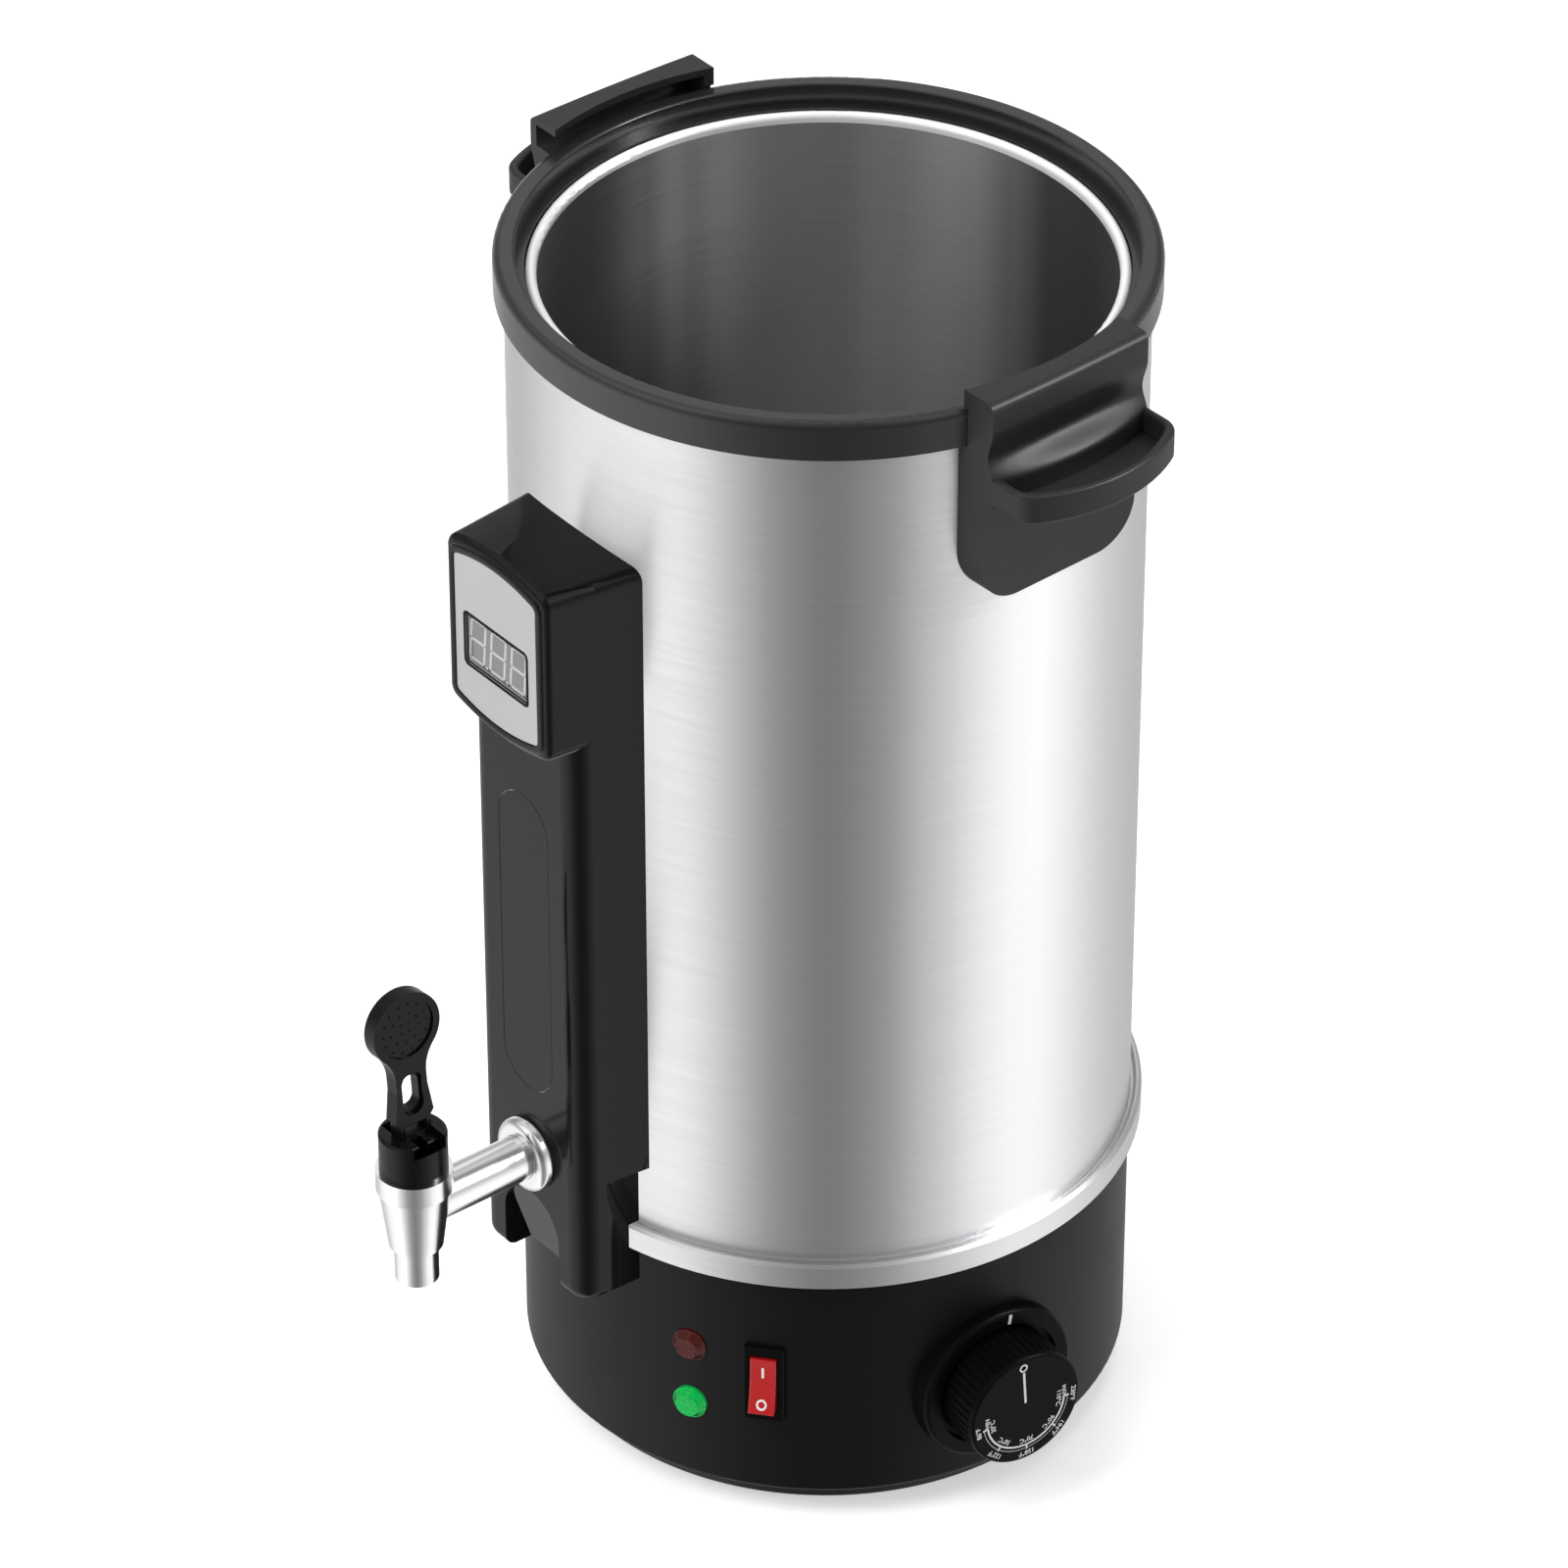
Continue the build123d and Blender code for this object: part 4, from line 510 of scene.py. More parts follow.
@dataclass(frozen=True)
class Moulded(Finish):
    """Moulded plastic or rubber: a fine skin, with or without a lacquer-like gloss over it.

    grain and grain_size are the depth and the width of the skin's pits, in metres.
    """

    coat: float = 0.0
    coat_roughness: float = 0.1
    grain: float = 0.02 * MM
    grain_size: float = 0.6 * MM
    specular: float = 0.5
    smear: float = 0.05
    shade: float = 0.08
    spread: float = 18.0

    def dress(self, sheet: Sheet, shader: Node) -> None:
        """Adds the moulded skin and the gloss.

        Args:
            sheet: The material's tree.
            shader: Its Principled node.
        """
        shader.inputs["Specular IOR Level"].default_value = self.specular
        shader.inputs["Coat Weight"].default_value = self.coat
        shader.inputs["Coat Roughness"].default_value = self.coat_roughness
        skin = sheet.place(Effect.MOULDED_SKIN.group(), Grain_size=self.grain_size)
        marks = sheet.place(Effect.HANDLING.group(), Spread=self.spread)
        self.vary(sheet, shader, marks.outputs["Smear"], self.smear, self.shade)
        self.relief(sheet, shader, skin.outputs["Pits"], self.grain)


@dataclass(frozen=True)
class Lens(Finish):
    """Coloured clear plastic over a reflector, lit or dark."""

    glow: float = 0.0
    facet: float = 1.1 * MM
    facet_depth: float = 0.2 * MM
    facet_shade: float = 0.6
    specular: float = 0.1
    coat: float = 0.2
    coat_roughness: float = 0.04
    smear: float = 0.1
    shade: float = 0.75
    # How the painted shade on the rim follows the lens turning from the view
    painted_rim_shade: float = 0.4
    rim: Stops = ((0.25, 0.0), (0.75, 1.0))

    def dress(self, sheet: Sheet, shader: Node) -> None:
        """Adds the moulded facets, a painted shade on the rim and the lamp's light.

        Args:
            sheet: The material's tree.
            shader: Its Principled node.
        """
        shader.inputs["Specular IOR Level"].default_value = self.specular
        shader.inputs["Coat Weight"].default_value = self.coat
        shader.inputs["Coat Roughness"].default_value = self.coat_roughness
        cells = sheet.add("TexVoronoi", feature="F1", Scale=1 / self.facet)
        sheet.wire(sheet.where(), cells.inputs["Vector"])
        # Painted shade: the colour darkens towards the rim, where the lens turns from the view
        painted_rim_shade = sheet.add("LayerWeight", Blend=self.painted_rim_shade)
        rim = sheet.ramp(painted_rim_shade.outputs["Facing"], self.rim)
        facets = sheet.maths("MULTIPLY", cells.outputs["Distance"], self.facet_shade)
        self.vary(sheet, shader, sheet.maths("MAXIMUM", rim, facets), self.smear, self.shade)
        self.relief(sheet, shader, cells.outputs["Distance"], self.facet_depth)
        if self.glow:
            lit = shader.inputs["Base Color"].links[0].from_socket
            sheet.wire(lit, shader.inputs["Emission Color"])
            shader.inputs["Emission Strength"].default_value = self.glow


class Shop(Enum):
    """Every finish on the melter."""

    SHELL_STEEL = TurnedSteel("brushed shell steel", (0.76, 0.76, 0.77), 0.34)
    POT_STEEL = PotSteel("brushed pot steel", grey(0.92), 0.38, uneven=0.1, shade=0.2)
    SCREW_STEEL = BrightMetal("screw steel", (0.62, 0.62, 0.63), 0.3)
    CHROME = BrightMetal("chrome", (0.82, 0.82, 0.83), 0.2)
    TRIM_STEEL = TurnedSteel(
        "polished band steel", (0.7, 0.7, 0.71), 0.34, stretch=0.4, grain=0.002 * MM
    )
    # Painted shade: steel darkened to stand for the shade inside the tap's bonnet
    SHADE_PAINTED_STEEL = BrightMetal("steel darkened as painted shade", grey(0.04), 0.4)
    ALUMINIUM = BrightMetal("cast aluminium", grey(0.7), 0.45)
    BRASS = BrightMetal("brass", (0.75, 0.58, 0.28), 0.3)
    COPPER = BrightMetal("drawn copper", (0.72, 0.38, 0.24), 0.28)
    SHEATH = BrightMetal("oxidised sheath", (0.22, 0.21, 0.2), 0.5)
    SATIN_BLACK = Moulded("satin black moulding", (0.022, 0.022, 0.023), 0.42, specular=0.24)
    RING_BLACK = Moulded(
        "ring black moulding", grey(0.014), 0.3, coat=0.3, coat_roughness=0.15, specular=0.4
    )
    DRUM_BLACK = Moulded("base black moulding", grey(0.005), 0.4, specular=0.12)
    GLOSS_BLACK = Moulded(
        "gloss black moulding",
        grey(0.004),
        0.3,
        coat=0.3,
        coat_roughness=0.03,
        grain=0.002 * MM,
        specular=0.05,
    )
    LEVER_BLACK = Moulded(
        "lever black moulding",
        grey(0.003),
        0.3,
        coat=0.14,
        coat_roughness=0.08,
        grain=0.003 * MM,
        specular=0.1,
    )
    KNOB_BLACK = Moulded("knob black", grey(0.003), 0.4, specular=0.05)
    RUBBER = Moulded("rubber", grey(0.02), 0.7)
    SILICONE = Moulded("silicone", (0.7, 0.7, 0.67), 0.5)
    CERAMIC = Moulded("ceramic", (0.82, 0.8, 0.75), 0.25)
    FELT = Moulded("felt wrap", (0.6, 0.58, 0.53), 0.95, grain=0.4 * MM, grain_size=2 * MM)
    ROCKER_RED = Moulded(
        "rocker red", (0.5, 0.008, 0.008), 0.25, coat=0.4, coat_roughness=0.05, specular=0.3
    )
    BOARD_GREEN = Moulded("board green", (0.03, 0.2, 0.08), 0.4)
    MODULE_WHITE = Moulded("module white", (0.7, 0.7, 0.68), 0.4)
    PLATE_SILVER = Moulded("printed silver", (0.47, 0.47, 0.475), 0.35, grain=0.006 * MM)
    WINDOW_SMOKE = Moulded(
        "smoked window", (0.16, 0.16, 0.165), 0.12, coat=0.5, grain=0.001 * MM
    )
    LENS_RED = Lens("red lens", (0.09, 0.008, 0.005), 0.15)
    LENS_GREEN = Lens("green lens", (0.0, 0.38, 0.06), 0.2, glow=0.6)
    PRINT_WHITE = Moulded("white print", grey(0.85), 0.5)
    SEGMENT_GREY = Moulded("unlit segments", grey(0.55), 0.4)


# ---------------------------------------------------------------- the studio


@dataclass(frozen=True)
class Lamp:
    """A soft lamp that faces the melter's middle.

    azimuth is in degrees from the camera, towards the right, elevation in degrees above the floor,
    size in metres across and up, and power in watts. A mirrored lamp is only there for glossy
    pieces to mirror, and the others only light them.
    """

    name: str
    azimuth: float
    elevation: float
    size: Flat
    power: float
    mirrored: bool = False


@dataclass(frozen=True)
class Studio:
    """The camera, the pale floor, the lamps and the reflector sky round the melter.

    Its tones are strengths, and 1 is white. What is seen is the background itself, and what is
    shed is the light that it gives.
    """

    azimuth: float = 51.5
    pitch: float = 35.13
    lens: float = 190.87
    sensor: float = 36.0
    farthest: float = 50.0
    # From the middle of the ring's top to the camera: right, forwards and up, as it looks
    stand_off: Vector = Vector((-14.3, -2288.7, 1397.5)) * MM
    world_shed: float = 0.55
    world_seen: float = 1.0
    floor_reach: float = 40.0
    floor_tone: float = 0.8
    floor_seen: float = 0.5
    lamp_distance: float = 2.2
    lamps: tuple[Lamp, ...] = (
        Lamp("left key", -55, 50, (1.2, 1.2), 30),
        Lamp("right strip", 77, 33, (0.2, 0.9), 44, mirrored=True),
        Lamp("top", 160, 70, (1.4, 1.4), 18),
    )
    sky_radius: float = 9.0
    sky_detail: int = 5
    sky_middle: float = 230.0 * MM
    sky_strength: float = 1.4
    # Brightness of the reflector sky against degrees from the camera, towards the right
    side_tones: Stops = (
        (-180, 1.05),
        (-173, 1.15),
        (-163, 0.85),
        (-151, 0.68),
        (-139, 0.68),
        (-121, 0.86),
        (-103, 1.15),
        (-79, 1.28),
        (-55, 1.35),
        (-43, 0.97),
        (-31, 0.62),
        (-18, 0.36),
        (0, 0.24),
        (18, 0.35),
        (42, 0.79),
        (59, 1.19),
        (77, 1.3),
        (94, 1.13),
        (119, 0.8),
        (144, 0.65),
        (162, 0.6),
        (180, 1.05),
    )
    # Share of it from straight down, 0, past the horizon, 0.5, to straight up, 1
    height_tones: Stops = (
        (0.0, 1.0),
        (0.38, 1.0),
        (0.5, 0.75),
        (0.60, 0.45),
        (0.72, 0.5),
        (0.80, 0.95),
        (1.0, 1.0),
    )

    def camera(self) -> None:
        """Sets up the camera at the photograph's viewing angle."""
        data = bpy.data.cameras.new("portrait camera")
        data.sensor_width = self.sensor
        data.lens = self.lens
        data.clip_end = self.farthest
        made = placed("portrait camera", data)
        turn = Matrix.Rotation(radians(self.azimuth), 4, "Z")
        p = radians(self.pitch)
        look = turn @ Vector((0, cos(p), -sin(p)))
        right = turn @ Vector((1, 0, 0))
        up = right.cross(look)
        made.matrix_world = Matrix((right, up, -look)).transposed().to_4x4()
        middle = Vector((0, TANK.y, TANK.ring_top))
        made.matrix_world.translation = turn @ self.stand_off + middle
        bpy.context.scene.camera = made

    @staticmethod
    def _seen(sheet: Sheet) -> Socket:
        """Tells the background that is seen from the light that it sheds.

        Args:
            sheet: The tree that it goes into.

        Returns:
            1 for rays from the camera, and through mirrors and glass, and otherwise 0.
        """
        path = sheet.add("LightPath").outputs
        shown = sheet.maths("MAXIMUM", path["Is Camera Ray"], path["Is Glossy Ray"])
        return sheet.maths("MAXIMUM", shown, path["Is Transmission Ray"])

    def world(self) -> None:
        """Gives the world a plain pale tone."""
        scene = bpy.context.scene
        scene.world = scene.world or bpy.data.worlds.new("studio")
        scene.world.use_nodes = True
        s = Sheet(scene.world.node_tree)
        back = s.add("Background", Color=(1, 1, 1, 1))
        more = self.world_seen - self.world_shed
        tone = s.maths("MULTIPLY_ADD", self._seen(s), more, self.world_shed)
        s.wire(tone, back.inputs["Strength"])
        s.surface(back, "OutputWorld")

    def floor(self) -> None:
        """Lays the pale floor, which keeps the melter's shadow."""
        made, s = coated("studio floor")
        matt = s.add("BsdfDiffuse", Color=(*grey(self.floor_tone), 1))
        lift = s.add("Emission", Color=(1, 1, 1, 1))
        s.wire(s.maths("MULTIPLY", self._seen(s), self.floor_seen), lift.inputs["Strength"])
        both = s.add("AddShader")
        s.wire(matt.outputs[0], both.inputs[0])
        s.wire(lift.outputs[0], both.inputs[1])
        s.surface(both)
        mesh = bpy.data.meshes.new("studio floor")
        r = self.floor_reach
        mesh.from_pydata([(-r, -r, 0), (r, -r, 0), (r, r, 0), (-r, r, 0)], [], [(0, 1, 2, 3)])
        mesh.materials.append(made)
        sheet = placed("studio_floor", mesh)
        sheet.visible_glossy = False

    def sky(self) -> None:
        """Hangs the reflector sky round the melter, seen only in its reflections."""
        made, s = coated("reflector sky")
        at = s.split(s.where())
        turn = s.maths("ARCTAN2", at["X"], s.maths("MULTIPLY", at["Y"], -1.0))
        share = s.maths("MULTIPLY_ADD", turn, 0.5 / pi, 0.5)
        tones = tuple((0.5 + d / 360, tone / self.sky_strength) for d, tone in self.side_tones)
        sides = s.ramp(share, tones, "EASE")
        rise = s.maths("MULTIPLY_ADD", at["Z"], 0.5 / self.sky_radius, 0.5)
        tone = s.maths("MULTIPLY", sides, s.ramp(rise, self.height_tones, "EASE"))
        glow = s.add("Emission")
        s.wire(s.maths("MULTIPLY", tone, self.sky_strength), glow.inputs["Strength"])
        s.surface(glow)
        shape = bmesh.new()
        bmesh.ops.create_icosphere(shape, subdivisions=self.sky_detail, radius=self.sky_radius)
        mesh = bpy.data.meshes.new("reflector sky")
        shape.to_mesh(mesh)
        shape.free()
        mesh.materials.append(made)
        sky = placed("reflector_sky", mesh)
        sky.location = (0, TANK.y, self.sky_middle)
        sky.rotation_euler = (0, 0, radians(self.azimuth))
        sky.visible_camera = False
        sky.visible_diffuse = False
        sky.visible_transmission = False
        sky.visible_shadow = False

    def hang(self, lamp: Lamp) -> None:
        """Hangs a lamp.

        Args:
            lamp: The lamp.
        """
        data = bpy.data.lights.new(lamp.name, "AREA")
        data.shape = "RECTANGLE"
        data.size, data.size_y = lamp.size
        data.energy = lamp.power
        made = placed(lamp.name, data)
        a, e = radians(self.azimuth + lamp.azimuth), radians(lamp.elevation)
        back = Vector((sin(a) * cos(e), -cos(a) * cos(e), sin(e)))
        made.location = Vector((0, TANK.y, self.sky_middle)) + back * self.lamp_distance
        made.rotation_mode = "QUATERNION"
        made.rotation_quaternion = back.to_track_quat("Z", "Y")
        made.visible_camera = False
        made.visible_glossy = lamp.mirrored
        made.visible_diffuse = not lamp.mirrored

    def build(self) -> None:
        """Sets up the whole studio."""
        self.camera()
        self.world()
        self.floor()
        self.sky()
        for lamp in self.lamps:
            self.hang(lamp)
        bpy.context.scene.view_settings.view_transform = "Standard"


# ---------------------------------------------------------------- pieces


def dress(finish: Shop, *nodes: str) -> None:
    """Gives solids their finish.

    Args:
        finish: The finish.
        *nodes: The solids' names.
    """
    for name in nodes:
        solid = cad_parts[name]
        solid.data.materials.clear()
        solid.data.materials.append(finish.value.material())
        log.info("dressed %s in %s", name, finish.value.name)


def unmirrored(*nodes: str) -> None:
    """Leaves solids out of the reflections in the metal beside them.

    The real metal is brushed too coarsely to mirror them.

    Args:
        *nodes: The solids' names.
    """
    for name in nodes:
        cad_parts[name].visible_glossy = False


class Sheetwork:
    """Thin flat shapes drawn on one plane, gathered into one piece."""

    # The hole in the off mark, and how much lettering is fattened, as shares of their size
    OFF_HOLE = 0.62
    BOLD = 0.012
    FRAME_SIDES = 32
    # The smallest inner corner of a frame
    SHARPEST = 0.2 * MM

    def __init__(self) -> None:
        """Starts with an empty sheet."""
        self.shape = bmesh.new()

    def spot(self, x: float, y: float) -> bmesh.types.BMVert:
        """Adds a corner."""
        return self.shape.verts.new((x, y, 0))

    def outline(self, points: list[Flat]) -> None:
        """Adds a filled outline."""
        self.shape.faces.new([self.spot(x, y) for x, y in points])

    def band(self, outer: Ring, inner: Ring, faces: int) -> None:
        """Fills between two rims.

        Args:
            outer: The corners of the outer rim.
            inner: The corners of the inner rim.
            faces: How many faces: as many as corners where the rims close.
        """
        for k in range(faces):
            n = (k + 1) % len(outer)
            self.shape.faces.new((outer[k], inner[k], inner[n], outer[n]))

    def bar(self, middle: Flat, size: Flat, turn: float = 0.0, cuts: int = 1) -> None:
        """Adds a bar.

        Args:
            middle: Its middle.
            size: Its width and its length.
            turn: Degrees that it is turned clockwise from upright.
            cuts: Lengths that it is divided into, where it lies on a curved face.
        """
        (x, y), (width, length), t = middle, size, radians(turn)
        rows = []
        for k in range(cuts + 1):
            v = length * (k / cuts - 0.5)
            rows.append(
                [
                    self.spot(x + u * cos(t) + v * sin(t), y - u * sin(t) + v * cos(t))
                    for u in (-width / 2, width / 2)
                ]
            )
        for (a, b), (d, c) in zip(rows, rows[1:]):
            self.shape.faces.new((a, b, c, d))

    def ring(
        self,
        middle: Flat,
        outer: float,
        inner: float,
        start: float = 0.0,
        end: float = 360.0,
        sides: int = 48,
    ) -> None:
        """Adds a ring or an arc of one.

        Args:
            middle: Its middle.
            outer: Its outer radius.
            inner: Its inner radius.
            start: Degrees clockwise from the top where it starts.
            end: Degrees where it ends.
            sides: How many faces it has.
        """
        x, y = middle
        corners = sides if end - start >= 360 else sides + 1
        turns = [radians(start + (end - start) * k / sides) for k in range(corners)]
        rims = [[self.spot(x + r * sin(t), y + r * cos(t)) for t in turns] for r in (outer, inner)]
        self.band(*rims, sides)

    def off(self, middle: Flat, radius: float) -> None:
        """Adds the small ring that marks a switch's off position."""
        self.ring(middle, radius, radius * self.OFF_HOLE, sides=32)

    def frame(self, outer: Flat, inner: Flat, corner: float, wall: float) -> None:
        """Adds a rounded frame.

        Args:
            outer: Half its width and height outside.
            inner: Half its width and height inside.
            corner: Its outer corner radius.
            wall: How much smaller its inner corner radius is.
        """
        rims = []
        turns = [2 * pi * (k + 0.5) / self.FRAME_SIDES for k in range(self.FRAME_SIDES)]
        for (w, h), r in ((outer, corner), (inner, max(corner - wall, self.SHARPEST))):
            rim = []
            for t in turns:
                x, y = r * sin(t), r * cos(t)
                rim.append(self.spot(x + copysign(w - r, x), y + copysign(h - r, y)))
            rims.append(rim)
        self.band(*rims, self.FRAME_SIDES)

    def text(self, words: str, size: float, middle: Flat, turn: float = 0.0) -> None:
        """Adds lettering.

        Args:
            words: What it says.
            size: The height of its line.
            middle: The middle of it.
            turn: Degrees that it is turned clockwise.
        """
        curve = bpy.data.curves.new("lettering", "FONT")
        curve.body = words
        curve.size = size
        curve.resolution_u = 3
        curve.align_x = "CENTER"
        curve.align_y = "CENTER"
        curve.offset = size * self.BOLD
        shown = placed("lettering", curve)
        bpy.context.view_layer.update()
        seen = shown.evaluated_get(bpy.context.evaluated_depsgraph_get())
        mesh = bpy.data.meshes.new_from_object(seen)
        turned = Matrix.Rotation(radians(-turn), 4, "Z")
        mesh.transform(Matrix.Translation((*middle, 0)) @ turned)
        self.shape.from_mesh(mesh)
        bpy.data.objects.remove(shown)
        bpy.data.curves.remove(curve)
        bpy.data.meshes.remove(mesh)

    def finish(
        self,
        name: str,
        place: Matrix,
        thickness: float,
        body: str,
        slot: str,
        finish: Shop,
        on: str | None = None,
    ) -> None:
        """Thickens the sheet and makes it a piece.

        Args:
            name: The piece's name.
            place: Its plane.
            thickness: How far it stands up from the plane.
            body: The body that it rides on.
            slot: The record's slot for its finish; not used.
            finish: Its finish.
            on: A solid that it is laid on, along the plane's normal, where its face isn't flat.
        """
        shape = self.shape
        bmesh.ops.remove_doubles(shape, verts=shape.verts, dist=HAIR)
        raised = bmesh.ops.extrude_face_region(shape, geom=list(shape.faces), use_keep_orig=True)
        upper = {v for v in raised["geom"] if isinstance(v, bmesh.types.BMVert)}
        for v in upper:
            v.co.z += thickness
        bmesh.ops.recalc_face_normals(shape, faces=shape.faces)
        bmesh.ops.transform(shape, matrix=place, verts=shape.verts)
        if on:
            lay(shape, on, place, upper, thickness)
        piece(name, shape, body, finish)


def lay(shape: Shape, node: str, place: Matrix, upper: set, thickness: float) -> None:
    """Lays a thin shape on a solid's face.

    Args:
        shape: The shape, in place.
        node: The solid.
        place: The plane whose normal it is laid along.
        upper: The shape's vertices on its outer side.
        thickness: How far those stand off the face.
    """
    run_up = 30 * MM
    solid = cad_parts[node]
    tree = BVHTree.FromPolygons(
        [solid.matrix_world @ v.co for v in solid.data.vertices],
        [list(p.vertices) for p in solid.data.polygons],
    )
    out = place.to_3x3() @ Vector((0, 0, 1))
    for v in shape.verts:
        hit = tree.ray_cast(v.co + out * run_up, -out)[0]
        if hit is not None:
            v.co = hit + out * (thickness if v in upper else -thickness)


def hoop(shape: Shape, middle: Vector, u: Vector, v: Vector, radius: float, sides: int) -> Ring:
    """Adds a ring of vertices.

    Args:
        shape: The shape that it goes into.
        middle: Its middle.
        u: The direction of its first vertex.
        v: The direction a quarter turn on.
        radius: Its radius.
        sides: How many vertices it has.

    Returns:
        The vertices, in order.
    """
    turns = [2 * pi * j / sides for j in range(sides)]
    return [shape.verts.new(middle + u * (radius * cos(t)) + v * (radius * sin(t))) for t in turns]


def joined(shape: Shape, rings: list[Ring]) -> None:
    """Joins each ring of vertices to the next with faces.

    Args:
        shape: The shape that they are in.
        rings: The rings, in order.
    """
    for low, high in zip(rings, rings[1:]):
        for j in range(len(low)):
            n = (j + 1) % len(low)
            shape.faces.new((low[j], low[n], high[n], high[j]))


def smoothed(shape: Shape) -> Shape:
    """Turns a shape's faces outwards and shades them smooth.

    Args:
        shape: The shape.

    Returns:
        The same shape.
    """
    bmesh.ops.recalc_face_normals(shape, faces=shape.faces)
    for face in shape.faces:
        face.smooth = True
    return shape


def hull(points: set[Flat]) -> list[Flat]:
    """Finds the convex hull of flat points.

    Args:
        points: The points.

    Returns:
        The hull's corners, in order.
    """
    half: list[list[Flat]] = []
    for run in (sorted(points), sorted(points, reverse=True)):
        side: list[Flat] = []
        for x, y in run:
            while len(side) > 1:
                (ax, ay), (bx, by) = side[-2:]
                if (bx - ax) * (y - ay) > (by - ay) * (x - ax):
                    break
                side.pop()
            side.append((x, y))
        half.append(side[:-1])
    return half[0] + half[1]


def resampled(line: list[Flat], count: int) -> list[Flat]:
    """Spreads points evenly along a closed outline.

    Args:
        line: The outline's corners.
        count: How many points.

    Returns:
        The points, in order.
    """
    ends = line[1:] + line[:1]
    lengths = [hypot(b[0] - a[0], b[1] - a[1]) for a, b in zip(line, ends)]
    step, reach, made = sum(lengths) / count, 0.0, []
    for a, b, length in zip(line, ends, lengths):
        while reach < length and len(made) < count:
            t = reach / length
            made.append((a[0] + (b[0] - a[0]) * t, a[1] + (b[1] - a[1]) * t))
            reach += step
        reach -= length
    return made


def piece(name: str, shape: Shape, body: str, finish: Shop) -> bpy.types.Object:
    """Turns a shape into a dressed piece that rides on a body.

    Args:
        name: Its name.
        shape: Its shape, in metres.
        body: The body that it rides on.
        finish: Its finish.

    Returns:
        The piece.
    """
    mesh = bpy.data.meshes.new(name)
    shape.to_mesh(mesh)
    shape.free()
    mesh.materials.append(finish.value.material())
    made = placed(name, mesh)
    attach(made, body)
    log.info("made %s with %d faces, on %s", name, len(mesh.polygons), body)
    return made


# ---------------------------------------------------------------- sub-assemblies


@dataclass(frozen=True)
class Vessel:
    """The pot, the shell, the rim ring and the handles."""

    def build(self) -> None:
        """Dresses the vessel."""
        dress(Shop.SHELL_STEEL, "outer_shell")
        dress(Shop.POT_STEEL, "inner_pot")
        dress(Shop.RING_BLACK, "rim_ring")
        dress(Shop.SATIN_BLACK, "handle_left", "handle_right")
        dress(Shop.SCREW_STEEL, "handle_brackets", "handle_screws")
        dress(Shop.FELT, "insulation_sleeve")


@dataclass(frozen=True)
class Base:
    """The base, its heater, and the band above it."""

    def build(self) -> None:
        """Dresses the base."""
        dress(Shop.DRUM_BLACK, "base_shell")
        dress(Shop.SATIN_BLACK, "base_plate", "inlet_body")
        dress(Shop.TRIM_STEEL, "trim_band")
        dress(Shop.RUBBER, "rubber_feet")
        dress(Shop.ALUMINIUM, "heater_plate")
        dress(Shop.SHEATH, "heating_element")
        dress(Shop.SCREW_STEEL, "foot_screws", "base_screws", "heater_clamp", "inlet_screws")
        dress(Shop.CERAMIC, "thermal_cutout", "thermostat_body", "terminal_block")
        dress(Shop.COPPER, "thermostat_bulb")
        dress(Shop.BRASS, "inlet_pins", "temperature_probe")


